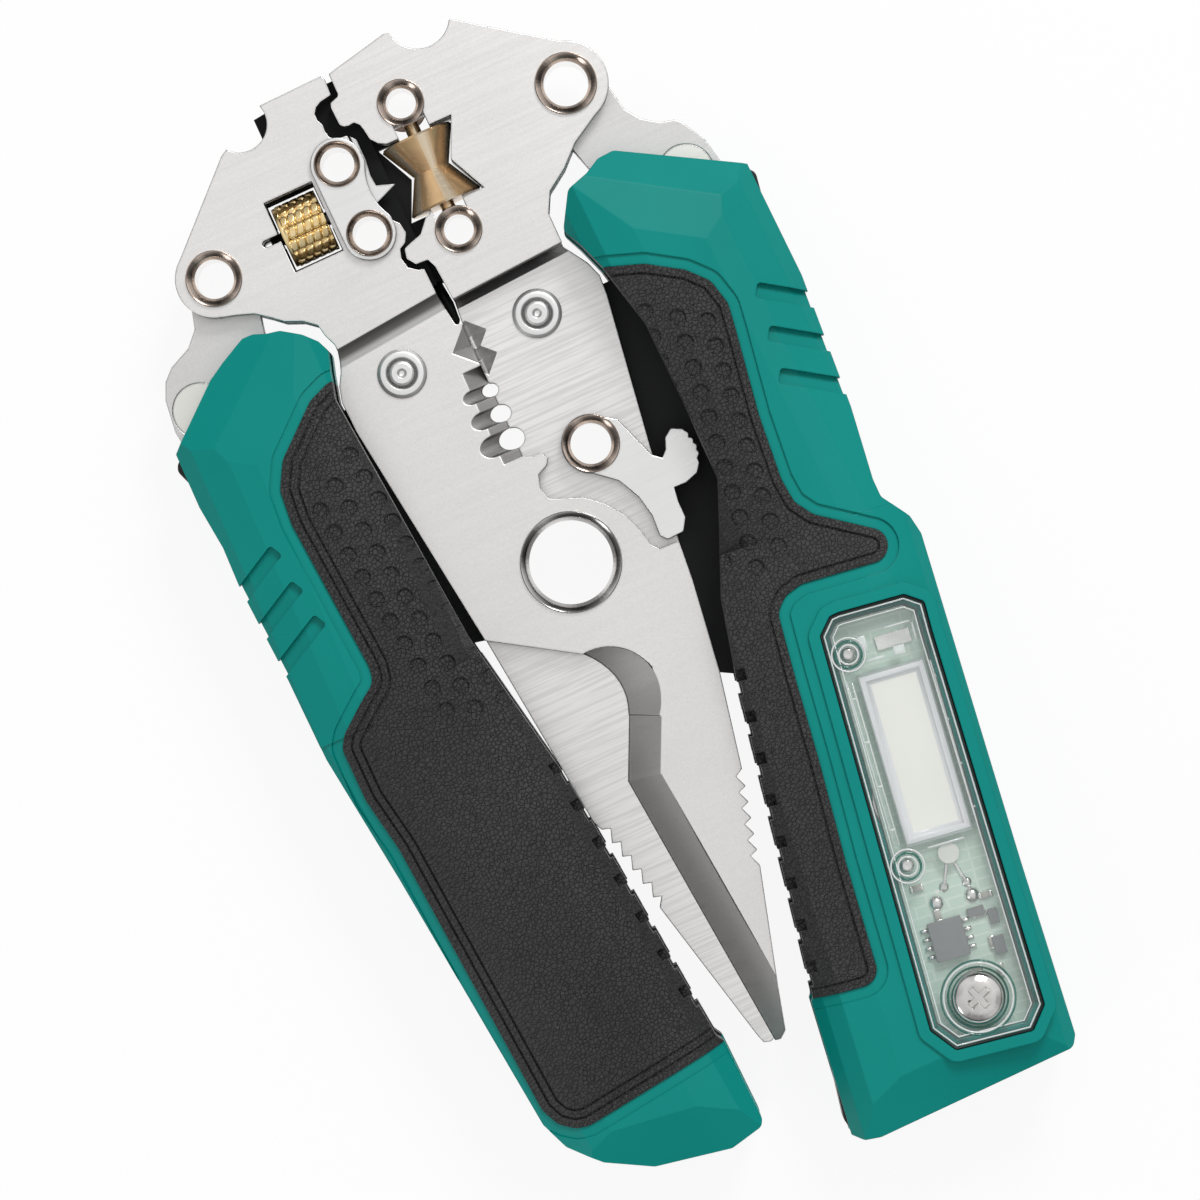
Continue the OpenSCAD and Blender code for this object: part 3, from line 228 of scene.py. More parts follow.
def plastic(name, colour, rough, grain=0.2, tone=0.06, scale=5200, spec=0.45, round_by=0.0):
    """Moulded plastic with a fine grain, and painted light and shade on its small walls.
    round_by is how far the shader rounds an edge, in m.
    """
    m, tree, shader = start(name, colour, rough)
    cloud = noise(tree, place(tree), 38, 3.0)
    fine = noise(tree, place(tree), scale, 2.0, 0.6)
    light = tuple(min(1, c * (1 + tone) + 0.002) for c in colour)
    dark = tuple(c * (1 - tone) for c in colour)
    skin_tone = blend_rgb(tree, ramp(tree, cloud, 0.3, 0.7), (*dark, 1), (*light, 1))
    # Painted light and shade on the small walls, by the side they face.
    wall = painted_wall_light(tree, 0.30, 1.35)
    grey = add(tree, "ShaderNodeCombineColor", Red=wall, Green=wall, Blue=wall).outputs[0]
    put(tree, shader.inputs["Base Color"], blend_rgb(tree, 1.0, skin_tone, grey, "MULTIPLY"))
    put(tree, shader.inputs["Roughness"], ramp(tree, fine, 0.3, 0.7, rough - 0.05, rough + 0.06))
    soft = None
    if round_by:
        soft = add(tree, "ShaderNodeBevel", {"samples": 4}, Radius=round_by).outputs[0]
    put(tree, shader.inputs["Normal"], bump(tree, fine, 0.00002, grain, normal=soft))
    shader.inputs["Specular IOR Level"].default_value = spec
    return m


def leather_rubber(name, colour, rough):
    """Rubber with the pebbled grain of a moulded grip, with painted light and shade on its walls
    and painted shade in the crevices of the grain.
    """
    m, tree, shader = start(name, colour, rough)
    cells = add(tree, "ShaderNodeTexVoronoi", {"feature": "DISTANCE_TO_EDGE"},
                Vector=place(tree), Scale=1700).outputs[0]
    fine = noise(tree, place(tree), 2600, 3.0, 0.6)
    cloud = noise(tree, place(tree), 30, 3.0)
    height = calc(tree, "ADD", ramp(tree, cells, 0.0, 0.12), calc(tree, "MULTIPLY", fine, 0.9))
    soft = add(tree, "ShaderNodeBevel", {"samples": 4}, Radius=0.00022).outputs[0]
    put(tree, shader.inputs["Normal"], bump(tree, height, 0.00010, 0.8, soft))
    dark = tuple(c * 0.75 for c in colour)
    light = tuple(c * 1.35 for c in colour)
    # Painted light and shade on the small walls, painted shade in the crevices between the
    # pebbles, and random tone from the fine noise.
    wall = calc(tree, "MULTIPLY", painted_wall_light(tree, 0.05, 4.5),
                ramp(tree, cells, 0.0, 0.12, 0.42, 1.10))
    wall = calc(tree, "MULTIPLY", wall, ramp(tree, fine, 0.35, 0.65, 0.62, 1.45))
    grey = add(tree, "ShaderNodeCombineColor", Red=wall, Green=wall, Blue=wall).outputs[0]
    skin_tone = blend_rgb(tree, ramp(tree, cloud, 0.25, 0.75), (*dark, 1), (*light, 1))
    put(tree, shader.inputs["Base Color"], blend_rgb(tree, 1.0, skin_tone, grey, "MULTIPLY"))
    put(tree, shader.inputs["Roughness"], ramp(tree, fine, 0.3, 0.7, rough - 0.08, rough + 0.08))
    shader.inputs["Specular IOR Level"].default_value = 0.42
    shader.inputs["Sheen Weight"].default_value = 0.06
    return m


def turned(name, colour, rough, scratch=0.25, wall=0.0, painted_streaks=0.0, metal=1.0):
    """Turned or polished metal with fine rings and a little colour drift.

    wall is how far the upright walls, such as the bore of a rivet, are painted paler as painted
    light, and with it the cones get painted reflection as pale and dark sector bands.
    painted_streaks is how pale the painted highlight bands along a roller are.
    """
    m, tree, shader = start(name, colour, rough, metal)
    fine = noise(tree, place(tree, (900, 900, 4200)), 1.0, 3.0, 0.6)
    cloud = noise(tree, place(tree), 260, 2.0)
    dark = tuple(c * 0.86 for c in colour)
    light = tuple(min(1, c * 1.10) for c in colour)
    plate = blend_rgb(tree, ramp(tree, cloud, 0.3, 0.7), (*dark, 1), (*light, 1))
    # Painted highlight: pale bands along the roller, by the direction its surface faces.
    if painted_streaks:
        n = add(tree, "ShaderNodeSeparateXYZ",
                Vector=tree.nodes.new("ShaderNodeNewGeometry").outputs["True Normal"])
        turn = calc(tree, "ARCTAN2", n.outputs[0], n.outputs[2])
        band = calc(tree, "SINE", calc(tree, "MULTIPLY_ADD", turn, 6.0, 0.6))
        plate = blend_rgb(tree, ramp(tree, band, 0.2, 1.0, 0.0, painted_streaks), plate,
                          (1.0, 0.88, 0.68, 1))
    # Painted reflection: pale and dark sector bands round the cones.
    if wall:
        plate = painted_reflection_sectors(tree, tuple(min(1, c * 1.55) for c in colour),
                        tuple(c * 0.42 for c in colour))
    # Upright walls painted pale by wall: painted light.
    put(tree, shader.inputs["Base Color"],
        blend_rgb(tree, calc(tree, "MULTIPLY", ramp(tree, up_facing(tree), 0.1, 0.25, 1.0, 0.0),
                             wall), plate, (0.95, 0.94, 0.92, 1)))
    put(tree, shader.inputs["Roughness"], ramp(tree, fine, 0.3, 0.7, rough * 0.75, rough * 1.3))
    put(tree, shader.inputs["Normal"], bump(tree, fine, 0.00002, scratch))
    return m


def painted_reflection_sectors(tree, light, dark):
    """Painted reflection: pale and dark sector bands round a cone, from the direction its
    surface leans to.
    """
    n = add(tree, "ShaderNodeSeparateXYZ",
            Vector=tree.nodes.new("ShaderNodeNewGeometry").outputs["True Normal"])
    turn = calc(tree, "ARCTAN2", n.outputs[1], n.outputs[0])
    wave = calc(tree, "ADD", calc(tree, "SINE", calc(tree, "MULTIPLY_ADD", turn, 3.0, 0.9)),
                calc(tree, "MULTIPLY", calc(tree, "SINE", calc(
                    tree, "MULTIPLY_ADD", turn, 5.0, 2.6)), 0.7))
    return blend_rgb(tree, ramp(tree, wave, -0.9, 0.9), (*dark, 1), (*light, 1))


M = {
    "jaw_sand": steel("jaw_sand", (0.875, 0.855, 0.84), 0.38, 28, 0.10, 0.045),
    "jaw_lines": steel("jaw_lines", (0.88, 0.87, 0.86), 0.35, 7, 0.45, 0.012, 0.07),
    "bright": steel("bright", (0.95, 0.945, 0.94), 0.30, 50, 0.01, 0.0, 0.0, 0.62),
    "tang": steel("tang", (0.76, 0.75, 0.74), 0.38, 60, 0.15, 0.045),
    "cream": steel("cream", (0.88, 0.87, 0.82), 0.42, 20, 0.10, 0.012, 0.0, 0.8),
    "ring": turned("ring", (0.46, 0.38, 0.33), 0.17, 0.25, 0.9),
    "ring_steel": turned("ring_steel", (0.44, 0.43, 0.42), 0.15, 0.25, 0.9),
    "bronze": turned("bronze", (0.96, 0.62, 0.33), 0.22, 0.4, 0.0, 0.9, 0.72),
    "dark_steel": turned("dark_steel", (0.20, 0.19, 0.18), 0.35),
    "solder": turned("solder", (0.86, 0.85, 0.83), 0.22),
    "screw": turned("screw", (0.82, 0.80, 0.78), 0.14),
    "insert": plastic("insert", (0.006, 0.0065, 0.007), 0.45, 0.35, 0.2, spec=0.16),
    "green": plastic("green", (0.0, 0.268, 0.236), 0.40, 0.10, 0.05, spec=0.16),
    "green_soft": plastic("green_soft", (0.0, 0.268, 0.236), 0.40, 0.10, 0.05, spec=0.16,
                          round_by=0.0003),
    "liner": plastic("liner", (0.012, 0.013, 0.014), 0.5, 0.25, 0.2, spec=0.3),
    "black": plastic("black", (0.008, 0.009, 0.009), 0.42, 0.25, 0.2),
    "rubber": leather_rubber("rubber", (0.026, 0.026, 0.026), 0.52),
    "display": plastic("display", (0.93, 0.92, 0.86), 0.30, 0.04, 0.03),
    "chip": plastic("chip", (0.17, 0.17, 0.175), 0.38, 0.3, 0.1),
}


def clear_plastic(name, colour, see_through):
    """Clear moulded plastic: a see-through body with a glossy skin and faint flow marks."""
    m, tree, shader = start(name, colour, 0.05)
    flow = noise(tree, place(tree), 160, 2.0)
    put(tree, shader.inputs["Normal"], bump(tree, flow, 0.00008, 0.25))
    put(tree, shader.inputs["Roughness"], ramp(tree, flow, 0.3, 0.7, 0.03, 0.09))
    shader.inputs["Alpha"].default_value = see_through
    shader.inputs["Coat Weight"].default_value = 0.6
    m.surface_render_method = "BLENDED"
    return m


def board_material(name):
    """Pale green solder mask with darker copper runs under it."""
    m, tree, shader = start(name, (0.42, 0.55, 0.47), 0.3)
    co = place(tree, (1, 1, 1), (0, 0, 8.5))
    runs = add(tree, "ShaderNodeTexBrick", {"offset": 0.37, "squash": 1.6},
               Vector=co, Scale=300, Mortar_Size=0.05, Mortar_Smooth=0.1,
               Brick_Width=1.4, Row_Height=0.45).outputs["Fac"]
    spots = add(tree, "ShaderNodeTexVoronoi", Vector=co, Scale=420, Randomness=0.9).outputs[0]
    dots = ramp(tree, spots, 0.10, 0.14, 1.0, 0.0)
    base = blend_rgb(tree, runs, (0.60, 0.76, 0.66, 1), (0.70, 0.83, 0.74, 1))
    put(tree, shader.inputs["Base Color"], blend_rgb(tree, dots, base, (0.86, 0.88, 0.82, 1)))
    put(tree, shader.inputs["Normal"], bump(tree, calc(tree, "ADD", runs, dots), 0.00004, 0.5))
    return m


WHEEL_MID = (-14.45, 58.4)                # middle of the thumbwheel, in mm
PIT_DEEP, PIT_EDGE = 0.00388, 0.00418     # radii of the painted shade in the pits of its knurl, in m


def knurl_gold(name):
    """Gold plating on the knurl, with painted shade in the pits between the scales."""
    m, tree, shader = start(name, (0.86, 0.60, 0.25), 0.24, 1.0)
    parts = add(tree, "ShaderNodeSeparateXYZ", Vector=tree.nodes.new(
        "ShaderNodeTexCoord").outputs["Object"])
    off_y = calc(tree, "SUBTRACT", parts.outputs[1], WHEEL_MID[1] * MM)
    flat = add(tree, "ShaderNodeCombineXYZ", X=off_y, Y=parts.outputs[2])
    reach = add(tree, "ShaderNodeVectorMath", {"operation": "LENGTH"}, i0=flat.outputs[0])
    pit_shade = ramp(tree, reach.outputs["Value"], PIT_DEEP, PIT_EDGE)
    cloud = noise(tree, place(tree), 900, 2.0)
    plate = blend_rgb(tree, ramp(tree, cloud, 0.3, 0.7), (0.92, 0.66, 0.30, 1),
                      (1.0, 0.82, 0.48, 1))
    put(tree, shader.inputs["Base Color"],
        # Painted shade in the pits.
        blend_rgb(tree, pit_shade, (0.085, 0.04, 0.012, 1), plate))
    put(tree, shader.inputs["Roughness"], ramp(tree, pit_shade, 0.0, 1.0, 0.6, 0.34))
    return m


M["gold"] = knurl_gold("gold")
M["clear"] = clear_plastic("clear", (0.85, 0.93, 0.91), 0.09)
M["clear_edge"] = clear_plastic("clear_edge", (0.80, 0.88, 0.85), 0.40)
M["clear_line"] = clear_plastic("clear_line", (0.90, 0.94, 0.93), 0.85)
M["green_line"] = clear_plastic("green_line", (0.03, 0.20, 0.16), 0.75)
M["gasket"] = plastic("gasket", (0.010, 0.014, 0.013), 0.4, 0.2, 0.2)
M["board"] = board_material("board")
M["lamp"] = clear_plastic("lamp", (0.92, 0.93, 0.88), 0.8)
M["bezel"] = plastic("bezel", (0.80, 0.80, 0.83), 0.22, 0.03, 0.02)
M["chip_light"] = plastic("chip_light", (0.42, 0.40, 0.36), 0.45, 0.2, 0.1)

# Which material each solid takes, and how wide its edges are broken, in mm
FINISH = {
    "jaw_a": ("jaw_sand", 0.12), "jaw_a_back_cheek": ("jaw_sand", 0.12),
    "jaw_b": ("jaw_lines", 0.12), "jaw_b_front_cheek": ("jaw_sand", 0.12),
    "insert_a": ("insert", 0), "insert_b": ("insert", 0),
    "main_pivot_rivet": ("ring_steel", 0.06), "return_spring": ("bright", 0),
    "jaw_a_rivet": ("bright", 0.05), "jaw_b_rivet": ("bright", 0.05),
    "link_plate": ("bright", 0.15), "link_rivets": ("ring", 0.05),
    "slitting_blade": ("bright", 0.05), "thumbwheel": ("gold", 0),
    "blade_screw": ("dark_steel", 0), "roller": ("bronze", 0),
    "roller_axle": ("bronze", 0), "roller_rivets": ("ring", 0.05),
    "lock_lever": ("bright", 0.18), "lever_rivet": ("ring", 0.05),
    "lever_spring": ("bright", 0.05), "left_pivot_rivet": ("ring", 0.06),
    "right_pivot_rivet": ("ring", 0.06), "left_tang": ("tang", 0.15),
    "right_tang": ("tang", 0.15), "left_tang_rivets": ("cream", 0.05),
    "right_tang_rivets": ("cream", 0.05), "left_core": ("black", 0.2),
    "right_core": ("black", 0.2), "left_front_shell": ("green", 0.6),
    "left_back_shell": ("green", 0.6), "right_front_shell": ("green_soft", 0),
    "right_back_shell": ("green_soft", 0), "left_front_grip": ("rubber", 0),
    "left_back_grip": ("rubber", 0), "right_front_grip": ("rubber", 0),
    "right_back_grip": ("rubber", 0), "left_liner": ("liner", 0),
    "right_liner": ("liner", 0), "left_screws": ("screw", 0.08),
    "right_screws": ("screw", 0.08), "tester_cover": ("clear", 0),
    "cover_screw": ("screw", 0.1), "tester_board": ("board", 0),
    "display_panel": ("display", 0.1), "display_frame": ("clear_edge", 0),
    "board_parts": ("chip", 0.08), "indicator_lamp": ("lamp", 0.08),
    "button_cell": ("screw", 0.2), "sense_plate": ("solder", 0.05),
}


def soften(obj, width, angle=24):
    """Breaks the sharp edges of a solid with a narrow round and keeps its flats flat."""
    weld = obj.modifiers.new("weld", "WELD")
    weld.merge_threshold = 2e-6
    flat = obj.modifiers.new("flat", "DECIMATE")
    flat.decimate_type = "DISSOLVE"
    flat.angle_limit = math.radians(0.4)
    b = obj.modifiers.new("round", "BEVEL")
    b.width = width * MM
    b.segments = 3 if width > 0.3 else 2
    b.limit_method = "ANGLE"
    b.angle_limit = math.radians(angle)
    b.use_clamp_overlap = width > 0.3
    even = obj.modifiers.new("even", "WEIGHTED_NORMAL")
    even.mode, even.weight, even.keep_sharp = "FACE_AREA", 90, False
    for p in obj.data.polygons:
        p.use_smooth = True


for name, (finish, width) in FINISH.items():
    obj = frame["nodes"][name]
    obj.data.materials.clear()
    obj.data.materials.append(M[finish])
    if width:
        soften(obj, width, 8 if finish == "green" else 24)

# Added pieces


def new_object(name, bm, material, body):
    """Turns a mesh built in mm in the row frame into an object that rides on a body."""
    mesh = bpy.data.meshes.new(name)
    bmesh.ops.scale(bm, vec=(MM, MM, MM), verts=bm.verts)
    bmesh.ops.recalc_face_normals(bm, faces=bm.faces)
    bm.to_mesh(mesh)
    bm.free()
    mesh.materials.append(M[material])
    for face in mesh.polygons:
        face.use_smooth = True
    obj = bpy.data.objects.new(name, mesh)
    bpy.context.scene.collection.objects.link(obj)
    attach(obj, body)
    return obj


def skin(bm, rings, closed=False):
    """Joins rings of points with faces. closed joins the last ring to the first."""
    rows = [[bm.verts.new(p) for p in ring] for ring in rings]
    pairs = list(zip(rows, rows[1:])) + ([(rows[-1], rows[0])] if closed else [])
    for a, b in pairs:
        for i in range(len(a)):
            j = (i + 1) % len(a)
            bm.faces.new((a[i], a[j], b[j], b[i]))
    return rows


def lathe(bm, profile, at, steps=48, closed=False):
    """Turns a profile of (radius, height) round the upright line through at."""
    turns = [2 * math.pi * i / steps for i in range(steps)]
    rows = skin(bm, [[(at[0] + r * math.cos(t), at[1] + r * math.sin(t), z) for t in turns]
                     for r, z in profile], closed)
    if not closed:
        bm.faces.new(rows[-1])


def grown(loop, d):
    """An outline moved outwards by d, its corners kept sharp."""
    area = sum(a[0] * b[1] - b[0] * a[1] for a, b in zip(loop, loop[1:] + loop[:1]))
    side = 1 if area > 0 else -1
    out = []
    for i, q in enumerate(loop):
        p, r = Vector(loop[i - 1]), Vector(loop[(i + 1) % len(loop)])
        a, b = (Vector(q) - p).normalized(), (r - Vector(q)).normalized()
        na, nb = Vector((a.y, -a.x)) * side, Vector((b.y, -b.x)) * side
        out.append(tuple(Vector(q) + (na + nb) * d / (1 + na.dot(nb))))
    return out


def bead(bm, loop, at, z, width, height):
    """A half-round line of the given width along an outline moved by at."""
    shape = [(-0.5, 0), (-0.4, 0.6), (-0.15, 1), (0.15, 1), (0.4, 0.6), (0.5, 0)]
    skin(bm, [[(*p, z + v * height) for p in grown(loop, at + u * width)]
              for u, v in shape], True)


def ring_bead(bm, at, r, z, width, height):
    """A half-round ring."""
    lathe(bm, [(r + u * width, z + v * height) for u, v in
               [(-0.5, 0), (-0.4, 0.6), (-0.15, 1), (0.15, 1), (0.4, 0.6), (0.5, 0)]],
          at, 64, True)


def block(bm, at, size, turn=0.0, edge=0.12):
    """A moulded block with chamfered top edges, standing on z = at[2]."""
    x, y, h = size[0] / 2, size[1] / 2, size[2]
    c, s = math.cos(math.radians(turn)), math.sin(math.radians(turn))

    def level(inset, z):
        corners = [(-x + inset, -y + inset), (x - inset, -y + inset),
                   (x - inset, y - inset), (-x + inset, y - inset)]
        return [(at[0] + u * c - v * s, at[1] + u * s + v * c, at[2] + z)
                for u, v in corners]
    rows = skin(bm, [level(0, 0), level(0, h - edge), level(edge, h)])
    bm.faces.new(rows[-1])


def thumbwheel():
    """Thumbwheel with a rope knurl: strands along the axis, each of pointed scales."""
    strands, scales, length, low, high = 14, 5, 6.6, 3.86, 4.56
    around, along = strands * 12, 72
    steps = [(-1 + 2 * k / along) * length / 2 for k in range(along + 1)]
    bm = bmesh.new()

    def radius(x, i):
        if x < -length / 2 + 0.62:                    # plain ring at the outer end
            return 4.42 - 0.3 * max(0.0, -x - length / 2 + 0.2)
        u = (i * strands / around) % 1.0
        row = int(i * strands / around) % 2
        v = ((x + length / 2 - 0.62) / (length - 0.62) * scales + row * 0.5 + 0.35 * u) % 1.0
        leaf = (1 - abs(2 * u - 1) ** 2.2) * (1 - abs(2 * v - 1) ** 3.0)
        return low + (high - low) * min(1.0, 1.8 * max(0.0, leaf)) ** 0.6

    rings = []
    for x, fixed in [(-length / 2, 1.05), (-length / 2, 4.05)]:
        rings.append((x, [fixed] * around))
    for x in steps:
        rings.append((x + (0.02 if x == steps[0] else 0), [radius(x, i) for i in range(around)]))
    rings.append((length / 2, [3.8] * around))
    rings.append((length / 2, [1.05] * around))
    skin(bm, [[(WHEEL_MID[0] + x, WHEEL_MID[1] + r * math.cos(2 * math.pi * i / around),
                r * math.sin(2 * math.pi * i / around)) for i, r in enumerate(radii)]
              for x, radii in rings], True)
    obj = new_object("knurled_wheel", bm, "gold", "wheel_body")
    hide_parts("thumbwheel")


def slab(bm, outline, low, high):
    """A flat piece with the given outline."""
    rows = skin(bm, [[(*p, low) for p in outline], [(*p, high) for p in outline]])
    for row in rows:
        bm.faces.new(row)


# Inner and outer half sizes of the black shims round the thumbwheel, which stand in for shade,
# and where they start, in mm
SHIM_IN, SHIM_OUT, SHIM_START = (3.55, 4.85), (3.9, 5.6), 1.5
GAP_OUTLINE = [(-1.55, 43.7), (-1.15, 37.4), (-0.3, 37.15), (0.05, 37.6), (0.25, 40.2),
               (-0.1, 43.7)]


def head_shade_shims():
    """Black shims between the cheeks as painted shade: dark sheets in the gap of the jaws and
    beside the thumbwheel, where the floor would show through.
    """
    bm = bmesh.new()
    slab(bm, GAP_OUTLINE, 0.1, 0.5)
    new_object("gap_shade_shim", bm, "insert", "jaw_a_body")
    bm = bmesh.new()
    for side in (1, -1):
        pts = [(-SHIM_OUT[0], SHIM_START), (-SHIM_OUT[0], SHIM_OUT[1]), SHIM_OUT,
               (SHIM_OUT[0], SHIM_START), (SHIM_IN[0], SHIM_START), SHIM_IN,
               (-SHIM_IN[0], SHIM_IN[1]), (-SHIM_IN[0], SHIM_START)]
        slab(bm, [(WHEEL_MID[0] + x, WHEEL_MID[1] + side * y) for x, y in pts], -0.4, 0.4)
    new_object("wheel_shade_shims", bm, "insert", "jaw_a_body")


# Outline of the tester window, and heights in the tester, in mm
WINDOW = [(27.1, -23.9), (29.5, -21.9), (30.8, -21.9), (40.2, -23.4), (42.4, -25.5),
          (41.7, -29.7), (34.2, -83.5), (31.2, -86.2), (20.3, -84.2), (18.1, -80.2)]
COVER_TOP, COVER_LOW, BOARD_TOP = 10.7, 9.5, 6.8
POSTS = [(29.7, -27.9), (24.9, -58.1)]
COVER_SCREW = (26.2, -78.8)
DISPLAY, TILT = (32.5, -44.2), -8.5
SOLDER_SPOTS = [(26.5, -64.7), (31.5, -65.7)]
CHIP = (25.95, -69.9)
LAMP = (30.9, -58.9)


def by_display(u, v, origin=DISPLAY):
    """A point given in the tilted directions of the display."""
    c, s = math.cos(math.radians(TILT)), math.sin(math.radians(TILT))
    return origin[0] + u * c - v * s, origin[1] + u * s + v * c


def tester_window():
    """Gasket line, moulded edges of the cover and the rings round its posts and screw."""
    bm = bmesh.new()
    bead(bm, WINDOW, -0.20, COVER_TOP, 0.42, 0.22)
    new_object("window_gasket", bm, "gasket", "right_handle")
    bm = bmesh.new()
    bead(bm, WINDOW, -0.62, COVER_TOP, 0.26, 0.16)
    bead(bm, WINDOW, -1.75, COVER_TOP, 0.20, 0.10)
    for at in POSTS:
        ring_bead(bm, at, 2.35, COVER_TOP, 0.28, 0.15)
        ring_bead(bm, at, 1.35, COVER_TOP, 0.28, 0.15)
    ring_bead(bm, COVER_SCREW, 4.85, COVER_TOP, 0.30, 0.2)
    new_object("cover_edges", bm, "clear_line", "right_handle")
    bm = bmesh.new()
    for at in POSTS:
        ring_bead(bm, at, 1.85, COVER_TOP, 0.34, 0.10)
    ring_bead(bm, COVER_SCREW, 5.2, COVER_TOP, 0.26, 0.12)
    ring_bead(bm, COVER_SCREW, 4.2, COVER_TOP - 0.69, 0.30, 0.12)
    new_object("cover_rings", bm, "green_line", "right_handle")
    bm = bmesh.new()
    for at in POSTS:
        lathe(bm, [(1.02, BOARD_TOP), (1.02, 9.0), (0.85, 9.3), (0.5, 9.42), (0.2, 9.3)], at)
    new_object("post_pins", bm, "solder", "right_handle")


def tester_display():
    """White bezel round the display, and the clear rails and clips beside it."""
    glass = [by_display(u, v) for u, v in [(-3.85, -11.35), (3.85, -11.35),
                                           (3.85, 11.35), (-3.85, 11.35)]]
    bm = bmesh.new()
    skin(bm, [[(*p, z) for p in grown(glass, d)] for d, z in
              [(-0.55, 8.24), (-0.02, 8.62), (0.0, 8.85), (0.45, 8.95), (0.75, 8.84)]])
    new_object("display_bezel", bm, "bezel", "right_handle")
    bm = bmesh.new()
    for u in (-5.75, -6.45, 5.6, 6.2):
        block(bm, (*by_display(u, 0), 8.9), (0.24, 23.6, 0.5), TILT, 0.08)
    for v in (-9.5, -3.2, 3.2, 9.5):
        for u in (-6.1, 5.9):
            block(bm, (*by_display(u, v), 8.9), (0.95, 0.3, 0.55), TILT, 0.08)
    for u, v, w, h in [(-1.6, 14.1, 2.6, 0.35), (1.9, 14.4, 1.6, 1.3), (-2.8, 16.6, 1.1, 2.2),
                       (2.6, 17.9, 3.6, 0.3), (4.6, 16.3, 0.3, 2.6), (0.6, -13.3, 5.2, 0.3)]:
        block(bm, (*by_display(u, v), 8.7), (w, h, 0.6), TILT, 0.1)
    new_object("display_rails", bm, "clear_line", "right_handle")


def tester_board_details():
    """Solder and small parts on the board, and the bent legs of the lamp."""
    bm = bmesh.new()
    for at in SOLDER_SPOTS:
        lathe(bm, [(1.18, BOARD_TOP), (1.1, BOARD_TOP + 0.2), (0.85, BOARD_TOP + 0.5),
                   (0.5, BOARD_TOP + 0.74), (0.2, BOARD_TOP + 0.82)], at)
    for i in range(4):
        for u in (-2.95, 2.95):
            at = by_display(u, -1.925 + i * 1.27, CHIP)
            block(bm, (*at, BOARD_TOP), (1.15, 0.62, 0.56), TILT, 0.2)
    reach = 4.6
    for turn in (-121, -82):
        d = Vector((math.cos(math.radians(turn)), math.sin(math.radians(turn))))
        mid = Vector(LAMP) + d * (reach / 2 + 0.6)
        block(bm, (mid.x, mid.y, BOARD_TOP), (reach - 0.6, 0.5, 0.46), turn, 0.12)
        end = Vector(LAMP) + d * (reach + 0.3)
        lathe(bm, [(0.75, BOARD_TOP + 0.02), (0.6, BOARD_TOP + 0.25), (0.3, BOARD_TOP + 0.4)],
              tuple(end), 24)
    caps = [(2.4, -24.2, 0), (-3.2, -22.9, 90), (3.1, -28.6, 90), (-5.0, -18.4, 0),
            (4.0, -21.9, 0), (-0.2, -31.6, 0), (3.2, -32.6, 90)]
    for u, v, turn in caps:
        for k in (-0.75, 0.75):
            c, q = math.cos(math.radians(turn)), math.sin(math.radians(turn))
            block(bm, (*by_display(u + k * c, v + k * q), BOARD_TOP), (0.45, 0.95, 0.5),
                  TILT + turn, 0.1)
    new_object("board_solder", bm, "solder", "right_handle")
    bm = bmesh.new()
    for u, v, turn in caps:
        block(bm, (*by_display(u, v), BOARD_TOP), (1.15, 0.9, 0.6), TILT + turn, 0.08)
    new_object("board_chips", bm, "chip_light", "right_handle")


thumbwheel()
head_shade_shims()
tester_window()
tester_display()
tester_board_details()

# Floor, light and camera


def stage_material():
    """White floor: lit like paper for the object, plain white with the shadow for the camera."""
    m = bpy.data.materials.new("floor_white")
    m.use_nodes = True
    tree = m.node_tree
    tree.nodes.clear()
    out = tree.nodes.new("ShaderNodeOutputMaterial")
    path = tree.nodes.new("ShaderNodeLightPath")
    paper = add(tree, "ShaderNodeBsdfDiffuse", Color=(0.86, 0.86, 0.86, 1))
    soft = add(tree, "ShaderNodeBsdfDiffuse", Color=(0.10, 0.10, 0.10, 1))
    glow = add(tree, "ShaderNodeEmission", Color=(1, 1, 1, 1), Strength=0.90)
    both = add(tree, "ShaderNodeAddShader", i0=soft.outputs[0], i1=glow.outputs[0])
    seen = calc(tree, "MAXIMUM", path.outputs["Is Camera Ray"], calc(
        tree, "MAXIMUM", path.outputs["Is Transmission Ray"], path.outputs["Is Glossy Ray"]))
    mix = add(tree, "ShaderNodeMixShader", i0=seen, i1=paper.outputs[0],
              i2=both.outputs[0])
    tree.links.new(mix.outputs[0], out.inputs[0])
    return m


def floor():
    mesh = bpy.data.meshes.new("floor")
    half, z = 3.0, cad_box[0][2] - 0.0002
    mesh.from_pydata([(-half, -half, z), (half, -half, z), (half, half, z),
                      (-half, half, z)], [], [(0, 1, 2, 3)])
    mesh.materials.append(stage_material())
    obj = bpy.data.objects.new("floor", mesh)
    bpy.context.scene.collection.objects.link(obj)


def lamp(name, at, aim, size, power, colour=(1, 1, 1)):
    data = bpy.data.lights.new(name, "AREA")
    data.shape, data.size, data.energy, data.color = "DISK", size, power, colour
    obj = bpy.data.objects.new(name, data)
    obj.location = at
    obj.rotation_euler = (Vector(aim) - Vector(at)).to_track_quat("-Z", "Y").to_euler()
    bpy.context.scene.collection.objects.link(obj)
    return obj


GAP_DEPTH = 0.8                           # how dark the gaps between the soft boxes are


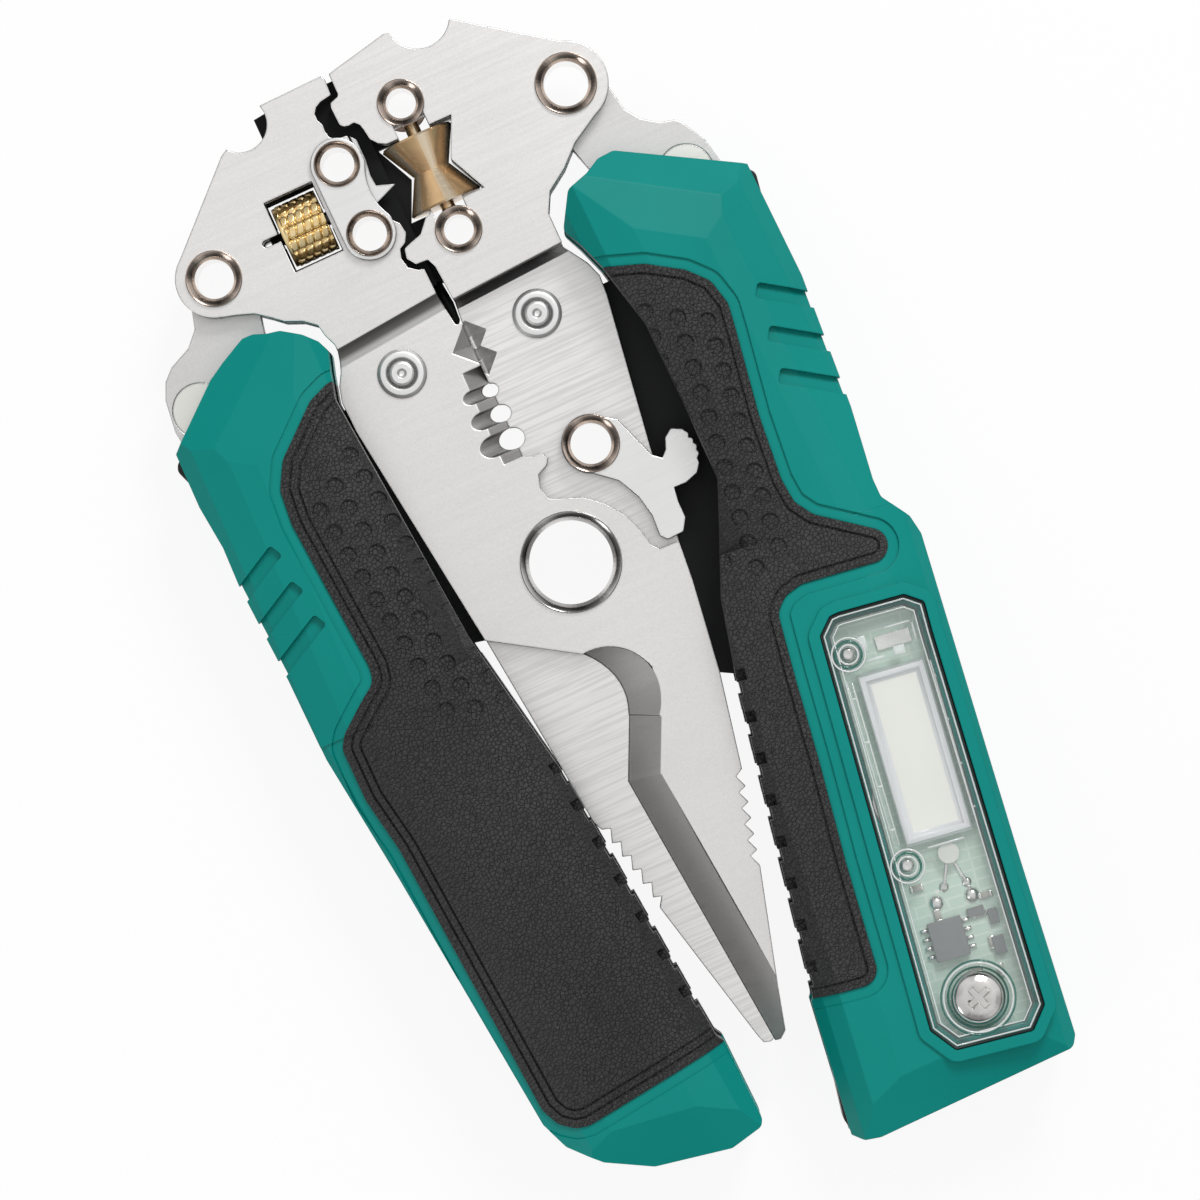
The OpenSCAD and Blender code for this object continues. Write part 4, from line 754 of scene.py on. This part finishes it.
def world():
    w = bpy.data.worlds.new("studio")
    w.use_nodes = True
    bpy.context.scene.world = w
    tree = w.node_tree
    tree.nodes.clear()
    out = tree.nodes.new("ShaderNodeOutputWorld")
    direction = tree.nodes.new("ShaderNodeTexCoord").outputs["Generated"]
    parts = add(tree, "ShaderNodeSeparateXYZ", Vector=direction)
    height = parts.outputs[2]
    high = ramp(tree, height, 0.05, 0.80, 0.25, 1.15)
    side = ramp(tree, calc(tree, "MULTIPLY_ADD", parts.outputs[0], 0.7,
                           calc(tree, "MULTIPLY", parts.outputs[1], 0.7)),
                -1.0, 1.0, 0.72, 1.1)
    # Soft boxes and dark gaps round the horizon, for the turned metal
    turn = calc(tree, "ARCTAN2", parts.outputs[1], parts.outputs[0])
    gaps = calc(tree, "SINE", calc(tree, "MULTIPLY_ADD", turn, 4.0, 0.6))
    gaps = calc(tree, "ADD", gaps, calc(tree, "MULTIPLY", calc(
        tree, "SINE", calc(tree, "MULTIPLY_ADD", turn, 2.0, 2.2)), 0.6))
    low = ramp(tree, height, 0.30, 0.92, 1.0, 0.0)
    boxes = calc(tree, "MULTIPLY_ADD", calc(tree, "MULTIPLY", low, GAP_DEPTH),
                 ramp(tree, gaps, -0.6, 0.6, -1.0, 0.25), 1.0)
    light = calc(tree, "MULTIPLY", calc(tree, "MULTIPLY", high, side), boxes)
    grey = add(tree, "ShaderNodeCombineColor", Red=light, Green=light, Blue=light).outputs[0]
    bg = add(tree, "ShaderNodeBackground", Color=grey, Strength=0.70)
    white = add(tree, "ShaderNodeBackground", Color=(1, 1, 1, 1), Strength=1.0)
    path = tree.nodes.new("ShaderNodeLightPath")
    seen = calc(tree, "MAXIMUM", path.outputs["Is Camera Ray"],
                path.outputs["Is Transmission Ray"])
    mix = add(tree, "ShaderNodeMixShader", i0=seen, i1=bg.outputs[0], i2=white.outputs[0])
    tree.links.new(mix.outputs[0], out.inputs[0])


UP = Vector((0.4179, 0.9085, 0))          # the photograph's up direction
RIGHT = Vector((0.9085, -0.4179, 0))
CENTRE = Vector((1.466 * MM, -6.53 * MM, 0.006))
VIEW_WIDTH = 0.168
DISTANCE = 0.80


def camera():
    data = bpy.data.cameras.new("camera")
    data.sensor_width = 36
    data.lens = 36 * DISTANCE / VIEW_WIDTH
    data.clip_start, data.clip_end = 0.01, 20
    obj = bpy.data.objects.new("camera", data)
    obj.matrix_world = Matrix.Translation(CENTRE + Vector((0, 0, DISTANCE))) @ Matrix(
        (RIGHT, UP, Vector((0, 0, 1)))).transposed().to_4x4()
    bpy.context.scene.collection.objects.link(obj)
    bpy.context.scene.camera = obj


camera()
floor()
world()
lamp("key", (0.45, 0.50, 0.70), (0, 0, 0), 0.30, 4.2)
lamp("rim", (-0.60, -0.25, 0.35), (0, 0, 0), 0.25, 0.5)
bpy.context.scene.view_settings.view_transform = "Standard"
